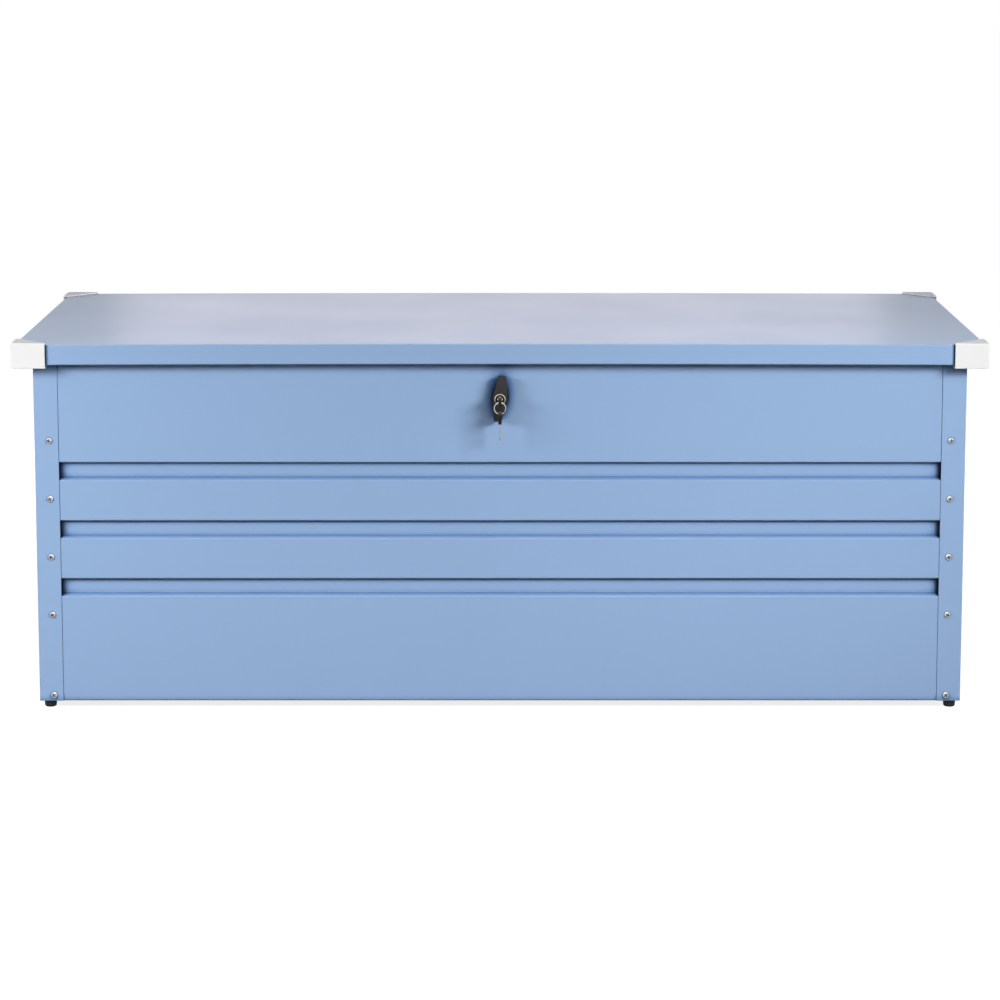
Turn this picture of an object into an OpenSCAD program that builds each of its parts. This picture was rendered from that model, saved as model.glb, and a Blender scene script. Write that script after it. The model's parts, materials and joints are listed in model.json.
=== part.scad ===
// Deck storage box: a folded sheet-steel chest with a hinged lid, two gas struts and a turn-handle lock.
// Millimetres. +Z is up, the front faces -Y, and the origin lies on the ground under the middle of the lid.

/* [Body] */
// Outside width across the corner posts
body_w = 1585; // [1200:5:1900]
// Outside depth across the corner posts
body_d = 652; // [560:1:800]
// Height of the walls
body_h = 606; // [580:1:760]
// Thickness of the folded sheet steel
sheet_t = 0.8; // [0.6:0.1:1.2]
// Inside radius of each fold in the sheet
fold_r = 1.2; // [0.8:0.1:1.6]
// Gap between pieces that must not rub
gap = 0.3; // [0.2:0.05:0.5]

/* [Walls] */
// Width of the flange folded in along the top of each wall
top_flange = 20; // [16:1:24]
// Depth of the lip folded down from the top flange
top_lip = 8; // [5:1:12]
// Width of the flange folded in along the bottom of each wall
base_flange = 25; // [25:1:32]
// Number of pressed grooves in each wall
groove_count = 3; // [2:1:3]
// Distance from one groove to the next
groove_pitch = 101; // [90:1:105]
// Height of one groove
groove_h = 31.5; // [24:0.5:36]
// Depth of one groove
groove_d = 9; // [5:0.5:10]
// Height of the lowest groove above the bottom edge
groove_base = 183.5; // [165:0.5:190]
// Height of the sloping face at the bottom of a groove
groove_slope = 6; // [4:0.5:9]
// Height of the sloping face at the top of a groove
groove_ceiling = 1.5; // [1:0.5:4]

/* [Corner posts] */
// Width of each leg of a post
post_w = 41; // [38:1:48]
// Thickness of a post
post_t = 1.2; // [1:0.1:2]
// Distance of the screws from the outer corner
screw_inset = 25; // [24:0.5:28]
// Distance of the screws below the groove above them
screw_drop = 32; // [28:1:36]
// Height of the lowest screw above the bottom edge
screw_base = 10; // [10:0.5:14]

/* [Fasteners] */
// Radius of the wall screws
screw_r = 3; // [2.5:0.5:3]
// Radius of a wall screw's head
screw_head_r = 5.6; // [5:0.1:6]
// Height of a wall screw's head
screw_head_h = 2.8; // [2:0.1:3.4]
// Length of a wall screw under its head
screw_len = 11; // [10:1:12]
// Distance across the flats of a nut
nut_flats = 10; // [8:0.5:10]
// Thickness of a nut
nut_t = 4.5; // [3:0.5:5]
// Radius of the small screws that hold hinges and brackets
small_screw_r = 2; // [1.5:0.1:2.2]
// Radius of a small screw's head
small_head_r = 4; // [3.5:0.1:4.4]
// Height of a small screw's head
small_head_h = 2; // [1.5:0.1:2.4]
// Clearance between a screw and its hole, on the radius
hole_clear = 0.2; // [0.1:0.05:0.3]

/* [Feet and floor] */
// Height of a foot below the walls
foot_h = 13; // [8:1:20]
// Radius of a foot where it meets the wall
foot_r = 10.8; // [9:0.1:12]
// How much narrower a foot is at the ground, on the radius
foot_taper = 1.2; // [0:0.2:2]
// Distance of a foot's centre from the outer faces
foot_inset = 16.5; // [15:0.5:18]
// Radius of the stud moulded into a foot
foot_stud_r = 3; // [2.5:0.5:3]
// Thickness of the corner brackets
bracket_t = 2; // [1.5:0.5:2.5]
// Height of a floor panel's folded edges
floor_h = 15; // [12:1:25]
// Side of the notch in the floor's outer corners
floor_notch = 34; // [32:1:45]

/* [Lid] */
// How far the lid stands out past the body at the left and right
lid_side_overhang = 27.5; // [25:0.5:40]
// How far the lid stands out past the body at the front
lid_front_overhang = 27; // [24:0.5:30]
// Height of the lid's folded edge
lid_h = 35; // [33:1:38]
// Width of the flange folded in along the lid's lower edge
lid_flange = 12; // [8:1:15]
// Depth of the ribs under the lid
rib_h = 16; // [14:1:18]
// Width of a rib's flat face
rib_w = 36; // [32:1:40]
// Width of each flange that joins a rib to the lid
rib_flange = 14; // [10:1:18]
// How far a rib's side walls lean out
rib_lean = 3; // [1:0.5:5]
// Distance of a rib's ends from the lid's edge
rib_end = 4; // [4:1:8]

/* [Corner caps] */
// Length of a cap along each edge of the lid
cap_len = 58; // [50:0.5:70]
// How far a cap stands out past the lid's edge
cap_proud = 5; // [4:0.5:6]
// How far a cap stands up past the lid's top
cap_rise = 3; // [2:0.5:4]
// How far a cap reaches below the lid's edge
cap_drop = 5; // [3.5:0.5:6]
// Thickness of the lip under a cap
cap_t = 2.5; // [2:0.5:3]
// Radius of a cap's upright outer edge
cap_r = 4; // [3:0.5:5]
// Width of the lip under a cap
cap_lip = 10; // [8:0.5:10]
// Width of the cap's end where its slanting edge starts
cap_end = 7; // [6:1:12]

/* [Hinges] */
// Distance of each hinge's middle from the body's side
hinge_inset = 292.5; // [240:0.5:440]
// Width of a hinge
hinge_w = 90; // [70:2:110]
// Outer radius of a hinge knuckle
knuckle_r = 5.2; // [5:0.1:6]
// Thickness of a hinge leaf
leaf_t = 2; // [1.6:0.1:2.2]
// Height of the leaf on the body
body_leaf_h = 45; // [35:1:60]
// Clearance between a hinge pin and its knuckles, on the radius
pin_clear = 0.05; // [0.03:0.01:0.08]
// Gap between the knuckles and the lid's lower edge
knuckle_drop = 0.5; // [0.3:0.1:1]
// How far the lid opens, in degrees
lid_open = 80; // [60:1:85]

/* [Gas struts] */
// Radius of a strut's cylinder
tube_r = 9; // [8:0.5:10]
// Wall thickness of a strut's cylinder
tube_t = 1.4; // [1:0.1:2]
// Radius of a strut's rod
rod_r = 4; // [3:0.5:4.5]
// Running clearance of the rod and piston, on the radius
rod_clear = 0.06; // [0.04:0.01:0.1]
// Length of rod that shows when the lid is shut
rod_show = 10; // [6:1:14]
// Distance of a strut's lower ball in front of the hinge line
strut_foot_y = 46; // [45:1:60]
// Distance of a strut's lower ball below the hinge line
strut_foot_z = 60; // [56:1:90]
// Distance of a strut's upper ball in front of the hinge line
strut_reach = 300; // [290:1:320]
// Radius of a ball stud's ball
ball_r = 5; // [4.5:0.5:5]
// Length of the neck between a ball and its strut
strut_neck = 20; // [18:1:24]
// Radius of a ball socket
socket_r = 7.5; // [7:0.5:8]
// Width of a ball socket
socket_w = 12; // [12:0.5:14]
// Gap between a strut and the wall's top flange
strut_clear = 4.3; // [3:0.1:8]

/* [Lock] */
// Depth of the lock's axis below the walls' top edge
lock_drop = 77; // [72:0.5:86]
// Lean of the handle from upright when the box is unlocked, in degrees
handle_lean = 6; // [0:1:10]
// Length of the handle from end to end
handle_len = 78; // [70:1:84]
// Width of the handle at its ends
handle_end_w = 13.5; // [11:0.5:16]
// Radius of the handle around its axis
handle_mid_r = 12; // [11.6:0.2:13]
// Thickness of the handle's grip
handle_t = 14; // [12:0.5:15]
// Radius of the rosette behind the handle
rosette_r = 15.4; // [14.5:0.1:18]
// Thickness of the rosette
rosette_t = 5; // [4:0.5:6]
// Height of the handle's neck above the rosette
neck_h = 4; // [3:0.5:5]
// Radius of the spindle that carries the cam
spindle_r = 7; // [6.8:0.1:7.2]
// Outer radius of the threaded barrel behind the rosette
barrel_r = 9.5; // [9:0.1:10]
// Outer radius of the ring around the keyway
bezel_r = 9.6; // [9:0.1:10]
// Radius of the turning plug
plug_r = 7.4; // [7:0.1:7.8]
// Distance of the cam behind the front wall
cam_depth = 30; // [28:0.5:34]
// Length of the cam from its axis
cam_len = 48; // [44:1:52]
// Width of the cam
cam_w = 20; // [16:1:22]
// Thickness of the cam
cam_t = 3; // [2:0.5:4]
// Side of the square that drives the cam
drive_w = 7; // [6:0.5:8]
// Thickness of the striker strip
striker_t = 2; // [1.5:0.5:2.5]

/* [Keys] */
// Radius of a key's bow
bow_r = 10; // [9:0.5:11]
// Thickness of a key's bow
bow_t = 5.5; // [4:0.5:6]
// Radius of the hole in a bow
bow_hole_r = 4.75; // [4:0.25:5]
// Length of the collar between bow and blade
collar_len = 5; // [4:0.5:6]
// Length of a key's blade
blade_len = 27; // [24:1:28]
// Width of a key's blade
blade_w = 7.6; // [6:0.2:8]
// Thickness of a key's blade
blade_t = 2.2; // [1.6:0.2:2.4]
// Radius of the key ring's centre line
ring_r = 9.7; // [9.5:0.1:12]
// Radius of the key ring's wire
wire_r = 1; // [0.8:0.1:1.1]

/* [Hidden] */
$fn = 48;

// Heights above the ground
body_z = foot_h;
top_z = body_z + body_h;
rib_z = top_z + gap;
lid_top = rib_z + rib_h + sheet_t;
lid_low = lid_top - lid_h;

// Plan: the lid is centred on the origin, and at the back it clears the wall by one hinge knuckle
wall_inset = post_t + sheet_t;
back_overhang = 2 * knuckle_r - post_t + sheet_t;
lid_w = body_w + 2 * lid_side_overhang;
lid_d = body_d + lid_front_overhang + back_overhang;
body_front = -lid_d / 2 + lid_front_overhang;
body_back = body_front + body_d;
body_mid = (body_front + body_back) / 2;
wall_y = body_front + post_t;
back_wall_y = body_back - post_t;
side_wall_x = body_w / 2 - post_t;
bend_r = fold_r + sheet_t;

// The long walls run between the side walls, and the side walls stop at the long walls' grooves
long_wall = body_w - 2 * (wall_inset + gap);
short_wall = body_d - 2 * (wall_inset + groove_d + gap);
flange_relief = base_flange - sheet_t - groove_d;

// Screws on the posts: one near the bottom, one under each groove, and one above the highest groove
screw_heights = [
    screw_base,
    for (i = [0 : groove_count]) groove_base - screw_drop + i * groove_pitch
];
hex_r = 1 / cos(30) / 2;

// Floor, resting on the walls' bottom flanges
floor_inset = wall_inset + fold_r + gap;
floor_d = body_d - 2 * floor_inset;
floor_w = (body_w - 2 * floor_inset - 2 * gap) / 3;
bracket_side = floor_notch - 2 * gap;
bracket_edge = bracket_side / 2;

// Hinges
hinge_y = back_wall_y + knuckle_r;
hinge_z = lid_low - knuckle_drop - knuckle_r;
hinge_x = body_w / 2 - hinge_inset;
pin_r = knuckle_r - leaf_t - pin_clear;
knuckle_w = (hinge_w - 2 * gap) / 3;
lid_leaf_h = lid_top - bend_r - gap - hinge_z;
hinge_screw_x = hinge_w / 2 - 2 * small_head_r;

// Gas struts in side view: y and z of the ball at each end, shut and open
strut_x = side_wall_x - top_flange - strut_clear - tube_r;
stud_drop = socket_r + 1.5;
foot_ball = [hinge_y - strut_foot_y, hinge_z - strut_foot_z];
lid_ball = [hinge_y - strut_reach, top_z - stud_drop];
open_ball = [
    hinge_y + (lid_ball[0] - hinge_y) * cos(lid_open) + (lid_ball[1] - hinge_z) * sin(lid_open),
    hinge_z - (lid_ball[0] - hinge_y) * sin(lid_open) + (lid_ball[1] - hinge_z) * cos(lid_open)
];
shut_len = norm(lid_ball - foot_ball);
stroke = norm(open_ball - foot_ball) - shut_len;
tube_len = shut_len - 2 * strut_neck - rod_show;
tube_end = 6;
guide_len = 12;
thread_len = 8;
piston_z = strut_neck + thread_len + 2;
piston_len = min(10, tube_len - guide_len - stroke - thread_len - 4);
sleeve_r = 5.5;
thread_r = 3;
ball_neck_r = 2.5;
stud_show = 3;
bracket_half = 12;
lid_bracket_x = strut_x - socket_w / 2 - gap - stud_show;
rib_x = lid_bracket_x - rib_w / 2;

// Lock, along its own axis
lock_z = top_z - lock_drop;
barrel_len = 14;
lock_nut_t = 6;
lock_nut_flats = 26;
plug_proud = 0.8;
plug_core_r = 4.8;
bezel_depth = 3;
neck_r = 10.5;
grip_back = wall_y - rosette_t - gap - neck_h;
grip_front = grip_back - handle_t;
plug_face = grip_front - plug_proud;
cam_y = wall_y + cam_depth;
bolt_r = 2.5;
striker_y = wall_y + top_flange + 6;
striker_x = cam_w / 2 + 8;
striker_w = 26;
striker_leg = 26;
striker_z = lock_z - cam_w / 2 - gap - striker_t;

// Keys: the ring hangs in the bow's round hole, and the spare key hangs from the ring in the same way
bow_y = plug_face - collar_len - bow_r;
ring_hang = sqrt(pow(ring_r - wire_r - gap, 2) - pow(bow_t / 2, 2));
ring_z = lock_z - bow_hole_r - ring_hang;
spare_z = ring_z - ring_hang - bow_hole_r;

// ---------- folded sheet ----------

function unit(v) = v / norm(v);
function left_of(v) = [-v[1], v[0]];
function turned(v, angle) = [v[0] * cos(angle) - v[1] * sin(angle), v[0] * sin(angle) + v[1] * cos(angle)];

// A path whose inner corners are rounded to radius r, each in a few straight steps
function fold(path, r, steps = 4) = [
    path[0],
    for (i = [1 : len(path) - 2])
        let (to_last = unit(path[i - 1] - path[i]), to_next = unit(path[i + 1] - path[i]),
             half = acos(max(-1, min(1, to_last * to_next))) / 2,
             centre = path[i] + unit(to_last + to_next) * r / sin(half),
             start = path[i] + to_last * r / tan(half) - centre,
             sweep = (180 - 2 * half) * (cross(start, -to_last) > 0 ? 1 : -1))
        for (k = [0 : steps]) centre + turned(start, sweep * k / steps),
    path[len(path) - 1]
];

// The same path moved to its left by t
function beside(path, t) = [
    for (i = [0 : len(path) - 1])
        let (before = unit(i > 0 ? path[i] - path[i - 1] : path[1] - path[0]),
             after = i < len(path) - 1 ? unit(path[i + 1] - path[i]) : before,
             normal = unit(left_of(before) + left_of(after)))
        path[i] + normal * t / (normal * left_of(before))
];

// A folded strip: the path is one face of the sheet, and the other face lies t to its left
module strip(path, t) {
    other = beside(path, t);
    polygon(concat(path, [for (i = [len(other) - 1 : -1 : 0]) other[i]]));
}

// Stretches a section drawn in depth and height along X
module along_x(length) {
    rotate([90, 0, 90]) linear_extrude(length) children();
}

// ---------- placing ----------

// Puts its children at a corner of the body, with +X and +Y pointing inwards
module at_corner(side, end) {
    translate([side * body_w / 2, body_mid + end * body_d / 2, 0])
        mirror([side > 0 ? 1 : 0, 0, 0]) mirror([0, end > 0 ? 1 : 0, 0]) children();
}

// Puts its children at a corner of the lid, with +X and +Y pointing inwards
module at_lid_corner(side, end) {
    translate([side * lid_w / 2, end * lid_d / 2, 0])
        mirror([side > 0 ? 1 : 0, 0, 0]) mirror([0, end > 0 ? 1 : 0, 0]) children();
}

// Draws its children on the right side as they are, or mirrored on the left
module on_side(side) {
    mirror([side < 0 ? 1 : 0, 0, 0]) children();
}

// Lays a child drawn along +Z on the line of the right strut, starting at its lower ball
module on_strut() {
    line = lid_ball - foot_ball;
    translate([strut_x, foot_ball[0], foot_ball[1]]) rotate([atan2(-line[0], line[1]), 0, 0]) children();
}

// Turns a child drawn along +Z to point out of the front wall on the lock's axis
module facing_front(y) {
    translate([0, y, lock_z]) rotate([90, 0, 0]) children();
}

// ---------- fasteners ----------

// A pan-head screw with a cross recess: the head is above z = 0 and the shank is below it
module pan_screw(r, length, head_r, head_h) {
    difference() {
        union() {
            cylinder(r = head_r, h = head_h * 0.55);
            translate([0, 0, head_h * 0.55]) cylinder(r1 = head_r, r2 = head_r * 0.62, h = head_h * 0.45);
            translate([0, 0, -length]) cylinder(r = r, h = length);
        }
        for (turn = [0, 90]) rotate(turn)
            translate([-head_r * 0.46, -head_r * 0.09, head_h * 0.4]) cube([head_r * 0.92, head_r * 0.18, head_h]);
    }
}

module small_screw(length) {
    pan_screw(small_screw_r, length, small_head_r, small_head_h);
}

module nut(flats, height, hole_r) {
    difference() {
        cylinder(r = flats * hex_r, h = height, $fn = 6);
        translate([0, 0, -1]) cylinder(r = hole_r, h = height + 2);
    }
}

// The wall screws of one corner, in the long wall and in the side wall, with +Z pointing out of the wall
module corner_screw_places() {
    for (h = screw_heights) {
        translate([screw_inset, 0, body_z + h]) rotate([90, 0, 0]) children();
        translate([0, screw_inset, body_z + h]) rotate([0, -90, 0]) children();
    }
}

// Holes for them, through the post and both walls
module corner_screw_holes() {
    corner_screw_places() translate([0, 0, -wall_inset - 1]) cylinder(r = screw_r + hole_clear, h = wall_inset + 2);
}

module wall_screws() {
    color("gainsboro") for (side = [-1, 1], end = [-1, 1]) at_corner(side, end)
        corner_screw_places() pan_screw(screw_r, screw_len, screw_head_r, screw_head_h);
}

module wall_nuts() {
    color("silver") for (side = [-1, 1], end = [-1, 1]) at_corner(side, end)
        corner_screw_places() translate([0, 0, -wall_inset - nut_t]) nut(nut_flats, nut_t, screw_r + pin_clear);
}

// ---------- walls ----------

// A wall's section: depth behind its outer face, and height above its bottom edge
module wall_section() {
    grooves = [
        for (i = [0 : groove_count - 1]) let (z = groove_base + i * groove_pitch)
            each [[0, z], [groove_d, z + groove_slope], [groove_d, z + groove_h - groove_ceiling], [0, z + groove_h]]
    ];
    path = concat([[base_flange, 0], [0, 0]], grooves, [[0, body_h], [top_flange, body_h], [top_flange, body_h - top_lip]]);
    strip(fold(path, bend_r), -sheet_t);
}

module long_wall_shape() {
    translate([-long_wall / 2, wall_y, body_z]) along_x(long_wall) wall_section();
}

module side_wall_shape() {
    translate([-side_wall_x, body_mid + short_wall / 2, body_z]) rotate(-90) difference() {
        along_x(short_wall) wall_section();
        // The flanges stop short of the long walls' flanges
        for (x = [-1, short_wall - flange_relief]) translate([x, 0, 0]) {
            translate([0, -1, -1]) cube([flange_relief + 1, base_flange + 2, bend_r + 1]);
            translate([0, -1, body_h - bend_r]) cube([flange_relief + 1, top_flange + 2, bend_r + 1]);
            translate([0, top_flange - bend_r, body_h - top_lip - 1])
                cube([flange_relief + 1, bend_r + 1, top_lip + 1]);
        }
    }
}

module corner_holes() {
    for (side = [-1, 1], end = [-1, 1]) at_corner(side, end) {
        corner_screw_holes();
        translate([foot_inset, foot_inset, body_z - 1]) cylinder(r = foot_stud_r + hole_clear, h = sheet_t + 2);
    }
}

module front_panel() {
    color("lightsteelblue") difference() {
        long_wall_shape();
        corner_holes();
        facing_front(wall_y) cylinder(r = barrel_r + hole_clear, h = 4, center = true);
    }
}

module back_panel() {
    color("lightsteelblue") difference() {
        translate([0, 2 * body_mid, 0]) mirror([0, 1, 0]) long_wall_shape();
        corner_holes();
        body_hinge_screw_places() cylinder(r = small_screw_r + pin_clear, h = 20, center = true);
    }
}

module side_panel(side) {
    color("lightsteelblue") difference() {
        on_side(-side) side_wall_shape();
        corner_holes();
        on_side(side) foot_bracket_screw_places() cylinder(r = small_screw_r + pin_clear, h = 20, center = true);
    }
}

module left_panel() {
    side_panel(-1);
}

module right_panel() {
    side_panel(1);
}

// An angle that covers the ends of two walls
module post(side, end) {
    color("lightsteelblue") at_corner(side, end) difference() {
        translate([0, 0, body_z]) linear_extrude(body_h)
            strip(fold([[post_w, 0], [0, 0], [0, post_w]], fold_r + post_t, 6), -post_t);
        corner_screw_holes();
    }
}

module front_left_post() {
    post(-1, -1);
}

module front_right_post() {
    post(1, -1);
}

module back_left_post() {
    post(-1, 1);
}

module back_right_post() {
    post(1, 1);
}

// ---------- floor and feet ----------

// One floor panel, with its front and back edges turned up: place is -1, 0 or 1 from left to right
module floor_panel(place) {
    path = [[0, floor_h], [0, 0], [floor_d, 0], [floor_d, floor_h]];
    color("lightsteelblue") difference() {
        translate([place * (floor_w + gap) - floor_w / 2, body_front + floor_inset, body_z + sheet_t])
            along_x(floor_w) strip(fold(path, bend_r), sheet_t);
        for (side = [-1, 1], end = [-1, 1]) at_corner(side, end)
            translate([0, 0, body_z]) cube([floor_inset + floor_notch, floor_inset + floor_notch, floor_h + 2]);
    }
}

module floor_left() {
    floor_panel(-1);
}

module floor_middle() {
    floor_panel(0);
}

module floor_right() {
    floor_panel(1);
}

// Gussets that lie on the bottom flanges in the corners and stiffen the feet
module foot_brackets() {
    color("silver") for (side = [-1, 1], end = [-1, 1]) at_corner(side, end)
        translate([floor_inset, floor_inset, body_z + sheet_t]) difference() {
            linear_extrude(bracket_t) polygon([
                [0, 0], [bracket_side, 0], [bracket_side, bracket_edge], [bracket_edge, bracket_side], [0, bracket_side]
            ]);
            translate([foot_inset - floor_inset, foot_inset - floor_inset, -1])
                cylinder(r = foot_stud_r + hole_clear, h = bracket_t + 2);
        }
}

module foot_nuts() {
    color("silver") for (side = [-1, 1], end = [-1, 1]) at_corner(side, end)
        translate([foot_inset, foot_inset, body_z + sheet_t + bracket_t])
            nut(nut_flats, nut_t, foot_stud_r + pin_clear);
}

module foot(side, end) {
    color("dimgray") at_corner(side, end) translate([foot_inset, foot_inset, 0]) {
        cylinder(r1 = foot_r - foot_taper, r2 = foot_r, h = foot_h);
        cylinder(r = foot_stud_r, h = foot_h + sheet_t + bracket_t + nut_t + 1);
    }
}

module front_left_foot() {
    foot(-1, -1);
}

module front_right_foot() {
    foot(1, -1);
}

module back_left_foot() {
    foot(-1, 1);
}

module back_right_foot() {
    foot(1, 1);
}

// ---------- lid ----------

// A folded pan: one strip runs front to back, and the other runs from side to side
module lid_panel() {
    front_to_back = [
        [-lid_d / 2 + lid_flange, 0], [-lid_d / 2, 0], [-lid_d / 2, lid_h], [lid_d / 2, lid_h], [lid_d / 2, 0]
    ];
    side_to_side = [
        [-lid_w / 2 + lid_flange, 0], [-lid_w / 2, 0], [-lid_w / 2, lid_h],
        [lid_w / 2, lid_h], [lid_w / 2, 0], [lid_w / 2 - lid_flange, 0]
    ];
    color("lightsteelblue") difference() {
        translate([0, 0, lid_low]) union() {
            translate([-lid_w / 2 + bend_r, 0, 0]) along_x(lid_w - 2 * bend_r)
                strip(fold(front_to_back, bend_r), -sheet_t);
            translate([0, lid_d / 2 - bend_r, 0]) rotate([90, 0, 0])
                linear_extrude(lid_d - 2 * bend_r) strip(fold(side_to_side, bend_r), -sheet_t);
        }
        lid_hinge_screw_places() cylinder(r = small_screw_r + pin_clear, h = 10, center = true);
    }
}

// A hat section under the lid. Its flanges are bonded to the lid, and its flat face rests over the walls
module lid_rib(x) {
    wide = rib_w / 2 + rib_lean;
    path = [
        [-wide - rib_flange, rib_h - sheet_t], [-wide, rib_h - sheet_t], [-rib_w / 2, 0],
        [rib_w / 2, 0], [wide, rib_h - sheet_t], [wide + rib_flange, rib_h - sheet_t]
    ];
    color("lightsteelblue") difference() {
        translate([x, lid_d / 2 - rib_end, rib_z]) rotate([90, 0, 0])
            linear_extrude(lid_d - 2 * rib_end) strip(fold(path, fold_r), sheet_t);
        lid_screw_places() cylinder(r = small_screw_r + pin_clear, h = 20, center = true);
    }
}

module lid_rib_left() {
    lid_rib(-rib_x);
}

module lid_rib_middle() {
    lid_rib(0);
}

module lid_rib_right() {
    lid_rib(rib_x);
}

// A moulded cap over one corner of the lid, with a triangular top and a lip under the lid's edge
module cap(side, end) {
    outer = [
        [-cap_proud, -cap_proud], [cap_len - cap_proud, -cap_proud], [cap_len - cap_proud, cap_end - cap_proud],
        [cap_end - cap_proud, cap_len - cap_proud], [-cap_proud, cap_len - cap_proud]
    ];
    lip_y = end > 0 ? cap_lip / 2 : cap_lip;
    color("whitesmoke") at_lid_corner(side, end) difference() {
        intersection() {
            union() {
                // Top
                translate([0, 0, lid_top]) linear_extrude(cap_rise) polygon(outer);
                // Walls
                translate([-cap_proud, -cap_proud, lid_low - cap_drop]) difference() {
                    cube([cap_len, cap_len, lid_h + cap_drop + cap_rise / 2]);
                    translate([cap_proud - gap, cap_proud - gap, -1])
                        cube([cap_len, cap_len, lid_h + cap_drop + cap_rise + 2]);
                }
                // Lips
                translate([-cap_proud, -cap_proud, lid_low - cap_drop]) {
                    cube([cap_len, cap_proud + lip_y, cap_t]);
                    cube([cap_proud + cap_lip, cap_len, cap_t]);
                }
            }
            // The upright outer edge is rounded
            translate([-cap_proud, -cap_proud, lid_low - cap_drop]) union() {
                translate([cap_r, cap_r, 0]) cylinder(r = cap_r, h = lid_h + cap_drop + cap_rise);
                translate([cap_r, 0, 0]) cube([cap_len, cap_len, lid_h + cap_drop + cap_rise]);
                translate([0, cap_r, 0]) cube([cap_len, cap_len, lid_h + cap_drop + cap_rise]);
            }
        }
    }
}

module front_left_cap() {
    cap(-1, -1);
}

module front_right_cap() {
    cap(1, -1);
}

module back_left_cap() {
    cap(-1, 1);
}

module back_right_cap() {
    cap(1, 1);
}

// ---------- hinges ----------

module hinge_knuckle(x, width) {
    translate([x - width / 2, 0, 0]) rotate([0, 90, 0]) cylinder(r = knuckle_r, h = width);
}

module hinge_bore() {
    rotate([0, 90, 0]) cylinder(r = pin_r + pin_clear, h = hinge_w + 2, center = true);
}

// The leaf on the back wall carries the two outer knuckles
module hinge_body_leaf(side) {
    color("silver") difference() {
        translate([side * hinge_x, hinge_y, hinge_z]) difference() {
            union() {
                translate([-hinge_w / 2, -knuckle_r, -body_leaf_h]) cube([hinge_w, leaf_t, body_leaf_h]);
                for (end = [-1, 1]) hinge_knuckle(end * (knuckle_w + gap), knuckle_w);
            }
            translate([-knuckle_w / 2 - gap, -knuckle_r - 1, -knuckle_r - gap])
                cube([knuckle_w + 2 * gap, 2 * knuckle_r + 2, 2 * knuckle_r + 2]);
            hinge_bore();
        }
        body_hinge_screw_places() cylinder(r = small_screw_r + hole_clear, h = 20, center = true);
    }
}

// The leaf inside the lid's back edge carries the middle knuckle
module hinge_lid_leaf(side) {
    color("silver") difference() {
        translate([side * hinge_x, hinge_y, hinge_z]) difference() {
            union() {
                translate([-hinge_w / 2, knuckle_r - leaf_t, 0]) cube([hinge_w, leaf_t, lid_leaf_h]);
                hinge_knuckle(0, knuckle_w);
            }
            for (end = [-1, 1]) translate([end * (hinge_w / 2 + knuckle_w / 2) - hinge_w / 2, -knuckle_r - 1, -1])
                cube([hinge_w, 2 * knuckle_r + 2, knuckle_r + gap + 1]);
            hinge_bore();
        }
        lid_hinge_screw_places() cylinder(r = small_screw_r + pin_clear, h = 20, center = true);
    }
}

module left_hinge_body_leaf() {
    hinge_body_leaf(-1);
}

module right_hinge_body_leaf() {
    hinge_body_leaf(1);
}

module left_hinge_lid_leaf() {
    hinge_lid_leaf(-1);
}

module right_hinge_lid_leaf() {
    hinge_lid_leaf(1);
}

module hinge_pins() {
    color("gray") for (side = [-1, 1]) translate([side * hinge_x, hinge_y, hinge_z])
        rotate([0, 90, 0]) cylinder(r = pin_r, h = hinge_w, center = true);
}

// Screw places on the leaves, with +Z pointing out of the back
module body_hinge_screw_places() {
    for (side = [-1, 1], place = [-1, 0, 1])
        translate([side * hinge_x + place * hinge_screw_x, back_wall_y + leaf_t, hinge_z - body_leaf_h * 0.65])
            rotate([-90, 0, 0]) children();
}

module lid_hinge_screw_places() {
    for (side = [-1, 1], place = [-1, 0, 1])
        translate([side * hinge_x + place * hinge_screw_x, lid_d / 2, hinge_z + lid_leaf_h * 0.6])
            rotate([-90, 0, 0]) children();
}

// ---------- gas struts ----------

// A bent bracket on the side wall carries the ball for the strut's lower end
module strut_body_bracket(side) {
    reach = side_wall_x - sheet_t - strut_x - socket_w / 2 - gap;
    path = [[0, -bracket_half - 20], [0, -bracket_half], [reach - bracket_t, -bracket_half], [reach - bracket_t, 10]];
    color("silver") on_side(side) difference() {
        union() {
            translate([side_wall_x - sheet_t, foot_ball[0], foot_ball[1] - bracket_half])
                mirror([1, 0, 0]) linear_extrude(2 * bracket_half) strip(fold(path, bracket_t + 1), -bracket_t);
            translate([strut_x, foot_ball[0], foot_ball[1]]) {
                sphere(r = ball_r);
                rotate([0, 90, 0]) cylinder(r = ball_neck_r, h = socket_w / 2 + gap + bracket_t / 2);
            }
        }
        foot_bracket_screw_places() cylinder(r = small_screw_r + pin_clear, h = 20, center = true);
    }
}

// Screw places on the side wall, with +Z pointing out of it
module foot_bracket_screw_places() {
    for (end = [-1, 1])
        translate([side_wall_x, foot_ball[0] - bracket_half - 11, foot_ball[1] + end * bracket_half / 2])
            rotate([0, 90, 0]) children();
}

// The rod end of a socket: a round head across the strut's line and a sleeve along it
module socket_shape() {
    rotate([0, 90, 0]) cylinder(r = socket_r, h = socket_w, center = true);
    translate([0, 0, ball_r + 1]) cylinder(r = sleeve_r, h = strut_neck - ball_r - 1);
}

module strut_lower_socket(side) {
    color("dimgray") on_side(side) on_strut() difference() {
        union() {
            socket_shape();
            translate([0, 0, strut_neck]) cylinder(r = thread_r, h = thread_len);
        }
        sphere(r = ball_r + pin_clear);
        rotate([0, 90, 0]) cylinder(r = ball_neck_r + 1, h = socket_w);
    }
}

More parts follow.
